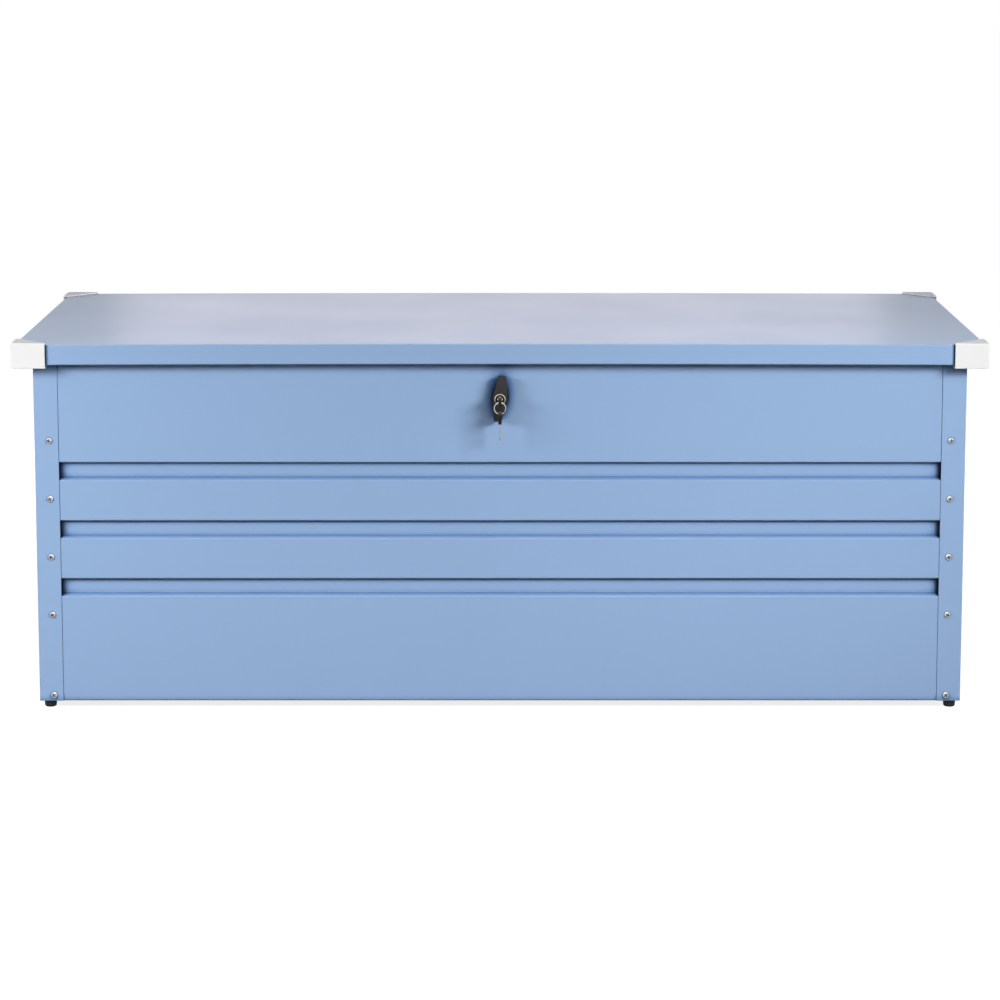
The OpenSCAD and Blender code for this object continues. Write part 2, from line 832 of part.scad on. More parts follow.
module strut_cylinder(side) {
    bore_r = tube_r - tube_t;
    color("dimgray") on_side(side) on_strut() translate([0, 0, strut_neck]) difference() {
        cylinder(r = tube_r, h = tube_len);
        translate([0, 0, -1]) cylinder(r = thread_r + pin_clear, h = tube_len);
        translate([0, 0, tube_end]) cylinder(r = bore_r, h = tube_len - tube_end - guide_len);
        translate([0, 0, tube_len - guide_len - 1]) cylinder(r = rod_r + rod_clear, h = guide_len + 2);
    }
}

module strut_rod(side) {
    color("silver") on_side(side) on_strut() {
        translate([0, 0, piston_z]) cylinder(r = tube_r - tube_t - rod_clear, h = piston_len);
        translate([0, 0, piston_z]) cylinder(r = rod_r, h = shut_len - strut_neck + thread_len - piston_z);
    }
}

module strut_upper_socket(side) {
    color("dimgray") on_side(side) on_strut() translate([0, 0, shut_len]) mirror([0, 0, 1]) difference() {
        socket_shape();
        translate([0, 0, strut_neck - thread_len]) cylinder(r = rod_r + pin_clear, h = thread_len + 1);
    }
}

// A bent bracket under the lid's side rib, whose stud faces the strut's upper end
module strut_lid_bracket(side) {
    path = [[-30, 0], [0, 0], [0, lid_ball[1] - rib_z - 8]];
    color("silver") on_side(side) difference() {
        union() {
            translate([lid_bracket_x, lid_ball[0] + 12, rib_z]) rotate([90, 0, 0])
                linear_extrude(24) strip(fold(path, bracket_t + 1), -bracket_t);
            translate([lid_bracket_x - bracket_t, lid_ball[0], lid_ball[1]])
                rotate([0, 90, 0]) cylinder(r = ball_neck_r + 1, h = bracket_t + stud_show);
        }
        strut_lid_screw_places() cylinder(r = small_screw_r + hole_clear, h = 20, center = true);
    }
}

// Screw places under the lid's ribs, with +Z pointing down
module strut_lid_screw_places() {
    for (end = [-1, 1])
        translate([lid_bracket_x - 20, lid_ball[0] + end * 6, rib_z - bracket_t]) mirror([0, 0, 1]) children();
}

module striker_screw_places() {
    for (x = [-1, 1])
        translate([x * 7, striker_y + striker_leg - 10, rib_z - striker_t]) mirror([0, 0, 1]) children();
}

module lid_screw_places() {
    for (side = [-1, 1]) on_side(side) strut_lid_screw_places() children();
    striker_screw_places() children();
}

module body_fitting_screws() {
    color("gainsboro") {
        body_hinge_screw_places() small_screw(leaf_t + sheet_t + 3);
        for (side = [-1, 1]) on_side(side) foot_bracket_screw_places() small_screw(sheet_t + bracket_t + 3);
    }
}

module lid_fitting_screws() {
    color("gainsboro") {
        lid_hinge_screw_places() small_screw(leaf_t + sheet_t + 1);
        lid_screw_places() small_screw(bracket_t + sheet_t + 3);
    }
}

module left_strut_body_bracket() {
    strut_body_bracket(-1);
}

module right_strut_body_bracket() {
    strut_body_bracket(1);
}

module left_strut_lower_socket() {
    strut_lower_socket(-1);
}

module right_strut_lower_socket() {
    strut_lower_socket(1);
}

module left_strut_cylinder() {
    strut_cylinder(-1);
}

module right_strut_cylinder() {
    strut_cylinder(1);
}

module left_strut_rod() {
    strut_rod(-1);
}

module right_strut_rod() {
    strut_rod(1);
}

module left_strut_upper_socket() {
    strut_upper_socket(-1);
}

module right_strut_upper_socket() {
    strut_upper_socket(1);
}

module left_strut_lid_bracket() {
    strut_lid_bracket(-1);
}

module right_strut_lid_bracket() {
    strut_lid_bracket(1);
}

// ---------- lock ----------

// The fixed escutcheon, with the threaded barrel that passes through the front wall
module lock_rosette() {
    edge = 1;
    color("black") facing_front(wall_y) difference() {
        union() {
            cylinder(r = rosette_r, h = rosette_t - edge);
            translate([0, 0, rosette_t - edge]) cylinder(r1 = rosette_r, r2 = rosette_r - edge, h = edge);
            translate([0, 0, -barrel_len]) cylinder(r = barrel_r, h = barrel_len);
        }
        translate([0, 0, -barrel_len - 1]) cylinder(r = spindle_r + pin_clear, h = barrel_len + rosette_t + 2);
    }
}

module lock_nut() {
    color("silver") facing_front(wall_y + sheet_t + lock_nut_t) nut(lock_nut_flats, lock_nut_t, barrel_r + pin_clear);
}

// The outline of the handle: two tapering wings around a round middle
module grip_outline() {
    corner = 4;
    tip = handle_len / 2;
    circle(r = handle_mid_r);
    for (turn = [0, 180]) rotate(turn) {
        polygon([
            [-handle_mid_r * 0.99, 1], [handle_mid_r * 0.99, 1],
            [handle_end_w / 2, tip - corner], [-handle_end_w / 2, tip - corner]
        ]);
        translate([-handle_end_w / 2 + corner, tip - 2 * corner]) square([handle_end_w - 2 * corner, 2 * corner]);
        for (x = [-1, 1]) translate([x * (handle_end_w / 2 - corner), tip - corner]) circle(r = corner);
    }
}

// The turning handle with its neck, its spindle and the square that drives the cam
module lock_handle() {
    spindle_len = rosette_t + gap + cam_depth;
    color("black") facing_front(grip_back) difference() {
        union() {
            rotate(-handle_lean) linear_extrude(handle_t) grip_outline();
            translate([0, 0, -neck_h]) cylinder(r = neck_r, h = neck_h + 1);
            translate([0, 0, -neck_h - spindle_len]) cylinder(r = spindle_r, h = spindle_len + 1);
            translate([-drive_w / 2, -drive_w / 2, -neck_h - spindle_len - cam_t]) cube([drive_w, drive_w, cam_t + 1]);
        }
        // Bezel, plug and cam bolt
        translate([0, 0, handle_t - bezel_depth]) cylinder(r = bezel_r + pin_clear, h = bezel_depth + 1);
        translate([0, 0, plug_proud - gap]) cylinder(r = plug_r + pin_clear, h = handle_t);
        translate([0, 0, handle_t + plug_proud - blade_len - 3]) cylinder(r = plug_core_r + pin_clear, h = blade_len);
        translate([0, 0, -neck_h - spindle_len - cam_t - 1]) cylinder(r = bolt_r + pin_clear, h = 14);
    }
}

module lock_bezel() {
    color("silver") facing_front(grip_front + bezel_depth) difference() {
        cylinder(r = bezel_r, h = bezel_depth + plug_proud);
        translate([0, 0, -1]) cylinder(r = plug_r + pin_clear, h = bezel_depth + plug_proud + 2);
    }
}

module lock_plug() {
    color("silver") facing_front(plug_face) difference() {
        union() {
            translate([0, 0, -handle_t]) cylinder(r = plug_r, h = handle_t);
            translate([0, 0, -blade_len - 2]) cylinder(r = plug_core_r, h = blade_len);
        }
        translate([-blade_t / 2 - pin_clear, -blade_w / 2 - pin_clear, -blade_len - gap])
            cube([blade_t + 2 * pin_clear, blade_w + 2 * pin_clear, blade_len + 1]);
    }
}

// The paddle behind the wall: it points up when the box is unlocked and to the right when it is locked
module lock_cam() {
    color("silver") facing_front(cam_y + cam_t) linear_extrude(cam_t) difference() {
        union() {
            circle(r = cam_w / 2);
            translate([-cam_w / 2, 0]) square([cam_w, cam_len - cam_w / 2]);
            translate([0, cam_len - cam_w / 2]) circle(r = cam_w / 2);
        }
        square(drive_w + 2 * pin_clear, center = true);
    }
}

module cam_bolt() {
    color("gainsboro") translate([0, cam_y + cam_t, lock_z]) rotate([-90, 0, 0]) pan_screw(bolt_r, 12, drive_w, 3);
}

// A strip that hangs from the lid's middle rib, with a ledge that the cam turns over
module lock_striker() {
    path = [
        [striker_y + striker_leg, rib_z], [striker_y, rib_z], [striker_y, striker_z],
        [cam_y + cam_t + 4, striker_z]
    ];
    inner_y = striker_y + striker_t + 1;
    color("silver") difference() {
        union() {
            translate([striker_x, 0, 0]) along_x(striker_w) strip(fold(path, striker_t + 1), striker_t);
            translate([-15, inner_y, rib_z - striker_t])
                cube([striker_x + 16, striker_y + striker_leg - inner_y, striker_t]);
        }
        striker_screw_places() cylinder(r = small_screw_r + hole_clear, h = 20, center = true);
    }
}

// ---------- keys ----------

// A key whose bow lies around the origin and whose blade points along +Y
module key() {
    difference() {
        union() {
            rotate([0, 90, 0]) cylinder(r = bow_r, h = bow_t, center = true);
            translate([-bow_t / 2, bow_r - 2.5, -blade_w / 2]) cube([bow_t, collar_len + 2.5, blade_w]);
            translate([-blade_t / 2, bow_r, -blade_w / 2]) cube([blade_t, collar_len + blade_len, blade_w]);
        }
        rotate([0, 90, 0]) cylinder(r = bow_hole_r, h = bow_t + 2, center = true);
    }
}

module lock_key() {
    color("dimgray") translate([0, bow_y, lock_z]) key();
}

module key_ring() {
    color("silver") translate([0, bow_y, ring_z]) rotate([90, 0, 0]) rotate_extrude()
        translate([ring_r, 0]) circle(r = wire_r);
}

module spare_key() {
    color("dimgray") translate([0, bow_y, spare_z]) rotate([-90, 0, 0]) key();
}

front_panel();
back_panel();
left_panel();
right_panel();
front_left_post();
front_right_post();
back_left_post();
back_right_post();
floor_left();
floor_middle();
floor_right();
foot_brackets();
foot_nuts();
front_left_foot();
front_right_foot();
back_left_foot();
back_right_foot();
wall_screws();
wall_nuts();
body_fitting_screws();
left_hinge_body_leaf();
right_hinge_body_leaf();
left_hinge_lid_leaf();
right_hinge_lid_leaf();
hinge_pins();
left_strut_body_bracket();
left_strut_lower_socket();
left_strut_cylinder();
left_strut_rod();
left_strut_upper_socket();
left_strut_lid_bracket();
right_strut_body_bracket();
right_strut_lower_socket();
right_strut_cylinder();
right_strut_rod();
right_strut_upper_socket();
right_strut_lid_bracket();
lid_panel();
lid_rib_left();
lid_rib_middle();
lid_rib_right();
lid_fitting_screws();
front_left_cap();
front_right_cap();
back_left_cap();
back_right_cap();
lock_rosette();
lock_nut();
lock_handle();
lock_bezel();
lock_cam();
cam_bolt();
lock_striker();
lock_plug();
lock_key();
key_ring();
spare_key();
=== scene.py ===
import json
import math

import bmesh
import bpy
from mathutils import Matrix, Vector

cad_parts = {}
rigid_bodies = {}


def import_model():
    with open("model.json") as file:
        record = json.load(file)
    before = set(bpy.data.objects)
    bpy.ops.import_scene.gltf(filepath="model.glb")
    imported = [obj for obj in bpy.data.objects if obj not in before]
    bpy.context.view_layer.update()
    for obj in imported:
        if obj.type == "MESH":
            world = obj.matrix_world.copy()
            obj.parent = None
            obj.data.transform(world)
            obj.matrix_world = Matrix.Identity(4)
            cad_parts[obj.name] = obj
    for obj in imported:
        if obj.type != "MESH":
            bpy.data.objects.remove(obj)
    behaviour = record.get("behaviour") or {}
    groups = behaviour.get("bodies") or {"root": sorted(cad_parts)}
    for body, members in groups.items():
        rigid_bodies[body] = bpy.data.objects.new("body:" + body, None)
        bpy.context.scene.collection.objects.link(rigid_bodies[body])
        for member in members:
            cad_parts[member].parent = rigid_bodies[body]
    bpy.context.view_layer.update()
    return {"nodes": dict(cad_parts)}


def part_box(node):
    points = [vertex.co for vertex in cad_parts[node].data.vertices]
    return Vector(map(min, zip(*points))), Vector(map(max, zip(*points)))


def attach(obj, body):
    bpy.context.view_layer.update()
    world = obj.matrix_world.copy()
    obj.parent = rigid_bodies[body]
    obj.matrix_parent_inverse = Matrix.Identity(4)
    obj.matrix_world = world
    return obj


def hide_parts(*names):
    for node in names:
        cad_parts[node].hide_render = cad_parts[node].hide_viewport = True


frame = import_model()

# A painted sheet-steel deck box. Sizes are millimetres here and become metres where a mesh is made.
mm = 0.001
nodes = frame["nodes"]


def boxOf(name):
    low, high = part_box(name)
    return low / mm, high / mm


# Planes and lines that the pieces share, all from the frame
frontWall, frontWallEnd = boxOf("front_panel")
backWall, backWallEnd = boxOf("back_panel")
leftPost, _ = boxOf("front_left_post")
_, rightPost = boxOf("back_right_post")
lidLow, lidHigh = boxOf("lid_panel")
rosetteLow, rosetteHigh = boxOf("lock_rosette")
bodyX = rightPost.x
bodyFront = leftPost.y
bodyBack = rightPost.y
bodyZ = frontWall.z
wallHeight = frontWallEnd.z - bodyZ
lockZ = (rosetteLow.z + rosetteHigh.z) / 2


cameraSpot = {"place": (0, -5.464, 1.3677), "tilt": 8.229, "lens": 110.5, "shift": -0.15}


def makeCamera(spot):
    data = bpy.data.cameras.new("camera")
    data.lens = spot["lens"]
    data.shift_y = spot["shift"]
    data.clip_end = 200
    camera = bpy.data.objects.new("camera", data)
    camera.location = spot["place"]
    camera.rotation_euler = (math.radians(90 - spot["tilt"]), 0, 0)
    bpy.context.scene.collection.objects.link(camera)
    bpy.context.scene.camera = camera


makeCamera(cameraSpot)


def linear(colour):
    parts = [int(colour[i:i + 2], 16) / 255 for i in (1, 3, 5)]
    return [p / 12.92 if p <= 0.04045 else ((p + 0.055) / 1.055) ** 2.4 for p in parts] + [1.0]


def addNode(tree, kind, settings=(), links=()):
    node = tree.nodes.new("ShaderNode" + kind)
    for name, value in dict(settings).items():
        if isinstance(name, int) or name in node.inputs:
            node.inputs[name].default_value = value
        else:
            setattr(node, name, value)
    for name, source in dict(links).items():
        tree.links.new(source, node.inputs[name])
    return node


def newMaterial(name):
    material = bpy.data.materials.new(name)
    material.use_nodes = True
    tree = material.node_tree
    tree.nodes.clear()
    return material, tree


# Every finish has the same build: a colour that drifts a little, a duller or shinier drift in roughness,
# a grain bump at the surface's own size, and an edge line where a coating thins or a corner is rubbed.
# A finish with a reach in mm gets painted shade, its colour darkening through its tones in gaps, corners and
# under overhangs that near.
def surface(name, look):
    material, tree = newMaterial(name)
    place = addNode(tree, "TexCoord").outputs["Object"]
    drift = addNode(tree, "TexNoise", {"Scale": 1 / (look["driftSize"] * mm), "Detail": 3.0},
                    {"Vector": place})
    stretch = addNode(tree, "Mapping", {"Scale": look.get("grainStretch", (1, 1, 1))}, {"Vector": place})
    grain = addNode(tree, "TexNoise", {"Scale": 1 / (look["grainSize"] * mm), "Detail": 2.0},
                    {"Vector": stretch.outputs[0]})
    rounded = addNode(tree, "Bevel", {"samples": 4, "Radius": look["edgeRadius"] * mm})
    flat = addNode(tree, "NewGeometry").outputs["Normal"]
    turn = addNode(tree, "VectorMath", {"operation": "DOT_PRODUCT"}, {0: rounded.outputs[0], 1: flat})
    edge = addNode(tree, "MapRange", {"From Min": 0.995, "From Max": 0.9}, {"Value": turn.outputs["Value"]})
    rubbed = addNode(tree, "Math", {"operation": "MULTIPLY", 1: look["edgeWear"]}, {0: edge.outputs[0]})
    body = addNode(tree, "Mix", {"data_type": "RGBA", 6: linear(look["colour"]), 7: linear(look["drifted"])},
                   {0: drift.outputs[0]})
    worn = addNode(tree, "Mix", {"data_type": "RGBA", 7: linear(look["worn"])},
                   {0: rubbed.outputs[0], 6: body.outputs[2]})
    colour = worn.outputs[2]
    # Painted shade: ambient occlusion within the reach darkens the colour by multiplying in the ramp's tones
    if "paintedShadeReach" in look:
        shown = addNode(tree, "AmbientOcclusion", {"samples": 16, "Distance": look["paintedShadeReach"] * mm})
        shade = addNode(tree, "ValToRGB", (), {0: shown.outputs["AO"]})
        paintedShadeTones, stops = look["paintedShadeTones"], shade.color_ramp.elements
        stops[0].position, stops[-1].position = paintedShadeTones[0][0], paintedShadeTones[-1][0]
        for share, _ in paintedShadeTones[1:-1]:
            stops.new(share)
        for stop, (_, tone) in zip(stops, paintedShadeTones):
            stop.color = linear(tone)
        colour = addNode(tree, "Mix", {"data_type": "RGBA", "blend_type": "MULTIPLY", 0: 1.0},
                         {6: colour, 7: shade.outputs[0]}).outputs[2]
    dull = addNode(tree, "MapRange", {"From Min": 0.3, "From Max": 0.7, "To Min": look["roughness"][0],
                                      "To Max": look["roughness"][1]}, {"Value": drift.outputs[0]})
    normal = rounded.outputs[0]
    for size, depth in look.get("waves", ()):
        wave = addNode(tree, "TexNoise", {"Scale": 1 / (size * mm), "Detail": 1.0}, {"Vector": place})
        normal = addNode(tree, "Bump", {"Strength": 1.0, "Distance": depth * mm},
                         {"Height": wave.outputs[0], "Normal": normal}).outputs[0]
    bump = addNode(tree, "Bump", {"Strength": 1.0, "Distance": look["grainDepth"] * mm},
                   {"Height": grain.outputs[0], "Normal": normal})
    settings = {"Metallic": look["metallic"]}
    settings.update(look.get("shader", {}))
    shader = addNode(tree, "BsdfPrincipled", settings,
                     {"Base Color": colour, "Roughness": dull.outputs[0], "Normal": bump.outputs[0]})
    addNode(tree, "OutputMaterial", (), {"Surface": shader.outputs[0]})
    return material


# Polyester powder coat on sheet steel: a satin film whose orange peel breaks reflections up softly, a
# little paler where it thins over folds. Real orange peel is 1 to 2 mm, drawn at 4 mm to show from here.
powderCoat = surface("satinPowderCoat", {
    "colour": "#90ACCF", "drifted": "#94AFD2", "worn": "#A9C0DE", "edgeWear": 0.35, "edgeRadius": 0.9,
    "driftSize": 220, "grainSize": 4, "grainDepth": 0.010, "waves": [(170, 0.35)],
    "roughness": (0.285, 0.33), "metallic": 0.0,
    "shader": {"IOR": 1.5, "Specular IOR Level": 0.38}, "paintedShadeReach": 35,
    # Painted shade: deep blue tones darken the wall under the lid, the tops of the grooves and the seams
    "paintedShadeTones": [(0.5, "#16232F"), (0.62, "#5F7897"), (0.75, "#BDD1E5"), (0.84, "#FFFFFF")],
})
# Injection-moulded polypropylene: white, slightly waxy, with the fine spark-eroded texture of its mould
whitePolypropylene = surface("mouldedPolypropylene", {
    "colour": "#E9E8E5", "drifted": "#E5E4E1", "worn": "#F1F1EF", "edgeWear": 0.3, "edgeRadius": 0.8,
    "driftSize": 40, "grainSize": 2, "grainDepth": 0.012, "roughness": (0.42, 0.5), "metallic": 0.0,
    "shader": {"IOR": 1.49},
})
# Injection-moulded black ABS: a fine matt grain that lifts the black to dark grey where the light meets it
blackAbs = surface("mouldedAbs", {
    "colour": "#343130", "drifted": "#393635", "worn": "#454241", "edgeWear": 0.25, "edgeRadius": 0.5,
    "driftSize": 25, "grainSize": 0.9, "grainDepth": 0.02, "roughness": (0.4, 0.5), "metallic": 0.0,
    # Painted shade: the tones darken the handle round its neck, bezel and keyway
    "shader": {"IOR": 1.53, "Specular IOR Level": 0.25}, "paintedShadeReach": 14,
    "paintedShadeTones": [(0.5, "#3A3A3C"), (0.93, "#FFFFFF")],
})
# The same ABS from a polished mould: a smoother, glossier skin, and a darker colour that is partly painted
# shade on the rosette
polishedAbsPaintedShade = surface("polishedMouldAbsPaintedShade", {
    "colour": "#161516", "drifted": "#1A191A", "worn": "#2C2B2B", "edgeWear": 0.3, "edgeRadius": 0.5,
    "driftSize": 18, "grainSize": 1.6, "grainDepth": 0.006, "roughness": (0.3, 0.38), "metallic": 0.0,
    "shader": {"IOR": 1.53, "Specular IOR Level": 0.35},
})
# Compression-moulded rubber: near black and dull, with a dusty bloom along its edges
footRubber = surface("mouldedRubber", {
    "colour": "#151617", "drifted": "#1B1C1D", "worn": "#3A3B3D", "edgeWear": 0.3, "edgeRadius": 0.8,
    "driftSize": 12, "grainSize": 1.2, "grainDepth": 0.03, "roughness": (0.55, 0.68), "metallic": 0.0,
    "shader": {"IOR": 1.52},
})
# Bright zinc plate on cold-headed steel: cool silver with soft reflections
brightZinc = surface("brightZincPlate", {
    "colour": "#E6E8EA", "drifted": "#DADDE0", "worn": "#F4F4F2", "edgeWear": 0.4, "edgeRadius": 0.25,
    "driftSize": 9, "grainSize": 0.7, "grainDepth": 0.008, "roughness": (0.28, 0.36), "metallic": 1.0,
    # Painted shade: the tones darken the cross recess and the rim where each head meets the post
    "paintedShadeReach": 4, "paintedShadeTones": [(0.52, "#2A2019"), (0.82, "#FFFFFF")],
})
# Zinc plate on pressed and folded steel: greyer, with faint roll lines left by the strip mill
pressedZinc = surface("zincPlatedStrip", {
    "colour": "#C3C8CC", "drifted": "#B4BABF", "worn": "#DADBDA", "edgeWear": 0.5, "edgeRadius": 0.4,
    "driftSize": 16, "grainSize": 0.8, "grainDepth": 0.010, "grainStretch": (0.08, 1, 1),
    "roughness": (0.3, 0.42), "metallic": 1.0,
})
# Chrome plate over polished brass: a bright mirror, a touch warm where it is thin
chromePlate = surface("polishedChromePlate", {
    "colour": "#C8C4B9", "drifted": "#BFBBB0", "worn": "#D9D4C6", "edgeWear": 0.4, "edgeRadius": 0.2,
    "driftSize": 7, "grainSize": 0.8, "grainDepth": 0.003, "roughness": (0.08, 0.14), "metallic": 1.0,
})
# Nickel-plated key steel: milled, so its sheen runs in fine lines along the blade
milledNickel = surface("milledNickelPlate", {
    "colour": "#A9A69F", "drifted": "#9C9992", "worn": "#C4C2BC", "edgeWear": 0.5, "edgeRadius": 0.2,
    "driftSize": 6, "grainSize": 0.5, "grainDepth": 0.010, "grainStretch": (1, 0.1, 0.1),
    "roughness": (0.29, 0.38), "metallic": 1.0,
})
# Baked enamel on drawn steel tube: glossy black with a slight flow texture
blackEnamel = surface("bakedBlackEnamel", {
    "colour": "#17181B", "drifted": "#1C1D20", "worn": "#35363A", "edgeWear": 0.4, "edgeRadius": 0.4,
    "driftSize": 30, "grainSize": 2.5, "grainDepth": 0.004, "roughness": (0.18, 0.26), "metallic": 0.0,
    "shader": {"IOR": 1.5},
})
# Glass-filled nylon, moulded: dark grey with a dry, slightly fibrous sheen
filledNylon = surface("glassFilledNylon", {
    "colour": "#26272A", "drifted": "#303134", "worn": "#47484B", "edgeWear": 0.3, "edgeRadius": 0.4,
    "driftSize": 10, "grainSize": 0.8, "grainDepth": 0.02, "roughness": (0.45, 0.58), "metallic": 0.0,
    "shader": {"IOR": 1.53},
})
# Hard chrome on a ground rod: a clean mirror with grinding marks round it
groundChrome = surface("groundHardChrome", {
    "colour": "#D8DBDE", "drifted": "#D0D3D7", "worn": "#E9EAEA", "edgeWear": 0.2, "edgeRadius": 0.3,
    "driftSize": 12, "grainSize": 0.5, "grainDepth": 0.002, "roughness": (0.07, 0.12), "metallic": 1.0,
})
print("finishes:", len(bpy.data.materials))


def makePiece(name, parts, material, body, replaced):
    points, faces = [], []
    for partPoints, partFaces in parts:
        start = len(points)
        points += [[c * mm for c in p] for p in partPoints]
        faces += [[start + i for i in face] for face in partFaces]
    mesh = bpy.data.meshes.new(name)
    mesh.from_pydata(points, [], faces)
    work = bmesh.new()
    work.from_mesh(mesh)
    bmesh.ops.remove_doubles(work, verts=work.verts, dist=0.002 * mm)
    bmesh.ops.dissolve_degenerate(work, edges=work.edges, dist=0.001 * mm)
    bmesh.ops.recalc_face_normals(work, faces=work.faces)
    work.to_mesh(mesh)
    work.free()
    mesh.shade_smooth()
    mesh.set_sharp_from_angle(angle=math.radians(42))
    mesh.materials.append(material)
    piece = bpy.data.objects.new(name, mesh)
    bpy.context.scene.collection.objects.link(piece)
    piece.modifiers.new("flatFaces", "WEIGHTED_NORMAL").keep_sharp = True
    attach(piece, body)
    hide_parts(*replaced)
    return piece


# What stands at the four corners: its side and end as signs, its node and its piece's name
def atCorners(kind):
    made = []
    for side, sideName in ((-1, "left"), (1, "right")):
        for end, endName in ((-1, "front"), (1, "back")):
            name = endName + sideName.capitalize() + kind.capitalize()
            made.append((side, end, f"{endName}_{sideName}_{kind}", name))
    return made


def unit(v):
    size = math.hypot(*v)
    return [c / size for c in v]


def between(a, b, share):
    return [p + (q - p) * share for p, q in zip(a, b)]


def spread(start, end, step):
    count = max(1, round(abs(end - start) / step))
    return [start + (end - start) * i / count for i in range(count + 1)]


# Rounds the corners of a path to a radius, or to one radius for each corner
def filleted(path, radius, steps=6, closed=False):
    count = len(path)
    radii = radius if isinstance(radius, (list, tuple)) else [radius] * count
    made = []
    for i, point in enumerate(path):
        if not closed and i in (0, count - 1) or radii[i] == 0:
            made.append(list(point))
            continue
        back = unit([a - b for a, b in zip(path[i - 1], point)])
        ahead = unit([a - b for a, b in zip(path[(i + 1) % count], point)])
        half = math.acos(max(-1, min(1, back[0] * ahead[0] + back[1] * ahead[1]))) / 2
        middle = unit([a + b for a, b in zip(back, ahead)])
        centre = [p + m * radii[i] / math.sin(half) for p, m in zip(point, middle)]
        reach = radii[i] / math.tan(half)
        first = [p + b * reach - c for p, b, c in zip(point, back, centre)]
        turn = (math.pi - 2 * half) * (-1 if back[0] * ahead[1] - back[1] * ahead[0] > 0 else 1)
        for k in range(steps + 1):
            c, s = math.cos(turn * k / steps), math.sin(turn * k / steps)
            made.append([centre[0] + first[0] * c - first[1] * s, centre[1] + first[0] * s + first[1] * c])
    return [p for i, p in enumerate(made) if i == 0 or math.dist(p, made[i - 1]) > 1e-6]


# The same path moved to its left by a distance
def shifted(path, distance, closed=False):
    count = len(path)
    made = []
    for i, point in enumerate(path):
        last = path[i - 1] if closed or i > 0 else point
        following = path[(i + 1) % count] if closed or i < count - 1 else point
        sides = [unit([b[0] - a[0], b[1] - a[1]]) for a, b in ((last, point), (point, following)) if a != b]
        normals = [[-s[1], s[0]] for s in sides]
        normal = unit([sum(n[0] for n in normals), sum(n[1] for n in normals)])
        scale = distance / (normal[0] * normals[0][0] + normal[1] * normals[0][1])
        made.append([point[0] + normal[0] * scale, point[1] + normal[1] * scale])
    return made


# Adds points along the straight runs of a path, so that a sheet can bulge between its folds
def divided(path, step):
    made = [path[0]]
    for a, b in zip(path, path[1:]):
        count = max(1, round(math.dist(a, b) / step))
        made += [between(a, b, k / count) for k in range(1, count + 1)]
    return made


# Both faces of a bent sheet, with its cut edges rounded as a coating leaves them
def sheetFaces(path, thickness, roundStart=True):
    near, far = [list(p) for p in path], shifted(path, thickness)
    half = abs(thickness) / 2
    for start in (True, False) if roundStart else (False,):
        i, j = (0, 1) if start else (-1, -2)
        out = unit([a - b for a, b in zip(near[i], near[j])])
        middle = [c - o * half for c, o in zip(between(near[i], far[i], 0.5), out)]
        tip = [m + o * half for m, o in zip(middle, out)]
        for side in (near, far):
            side[i] = [c - o * half for c, o in zip(side[i], out)]
            shoulder = [m + (c - m) * 0.707 + o * half * 0.707 for m, c, o in zip(middle, side[i], out)]
            if start:
                side[:0] = [tip, shoulder]
            else:
                side += [shoulder, tip]
    return near, far


# Sweeps a bent sheet along its stations: place turns a section point and a station into a point
def sweptSheet(faces, stations, place, ease=0.3):
    near, far = faces
    middle = [between(a, b, 0.5) for a, b in zip(near, far)]
    softened = [[between(p, m, 0.55) for p, m in zip(side, middle)] for side in (near, far)]
    first, last = stations[0], stations[-1]
    towards = ease if last > first else -ease
    rings = [(softened, first), ((near, far), first + towards)]
    rings += [((near, far), s) for s in stations[1:-1]]
    rings += [((near, far), last - towards), (softened, last)]
    count = len(near)
    size = 2 * count
    points, quads = [], []
    for (a, b), s in rings:
        points += [place(p, s) for p in a] + [place(p, s) for p in reversed(b)]
    for r in range(len(rings) - 1):
        for i in range(size):
            j = (i + 1) % size
            quads.append([r * size + i, r * size + j, (r + 1) * size + j, (r + 1) * size + i])
    for base in (0, (len(rings) - 1) * size):
        for i in range(count - 1):
            quads.append([base + i, base + i + 1, base + size - 2 - i, base + size - 1 - i])
    return points, quads


# Joins rings of equally many points. Ends are "open" or "fan", or "loop" where the last ring meets the first
def ringStack(rings, ends="fan"):
    size = len(rings[0])
    points = [p for ring in rings for p in ring]
    faces = []
    last = len(rings) if ends == "loop" else len(rings) - 1
    for r in range(last):
        a, b = r * size, ((r + 1) % len(rings)) * size
        for i in range(size):
            j = (i + 1) % size
            faces.append([a + i, a + j, b + j, b + i])
    if ends == "fan":
        for base in (0, (len(rings) - 1) * size):
            ring = points[base:base + size]
            centre = [sum(p[k] for p in ring) / size for k in range(3)]
            points.append(centre)
            for i in range(size):
                faces.append([base + i, base + (i + 1) % size, len(points) - 1])
    return points, faces


# Steps round a quarter circle of radius 1, as the distances still to go to either tangent
def roundOver(steps):
    angles = [math.pi / 2 * k / steps for k in range(steps + 1)]
    return [(1 - math.sin(a), 1 - math.cos(a)) for a in angles]


def circleAt(radius, count, angles=None):
    angles = angles or [math.tau * i / count for i in range(count)]
    return [[radius * math.cos(a), radius * math.sin(a)] for a in angles]


wall = {
    "sheet": 0.8, "foldRadius": 1.2, "grooves": 3, "pitch": 101, "base": 183.5, "height": 31.5, "depth": 9,
    "slope": 6, "ceiling": 1.5, "topFlange": 20, "topLip": 8, "baseFlange": 25, "bulge": 0.3, "panelStep": 45,
    "step": 40,
}


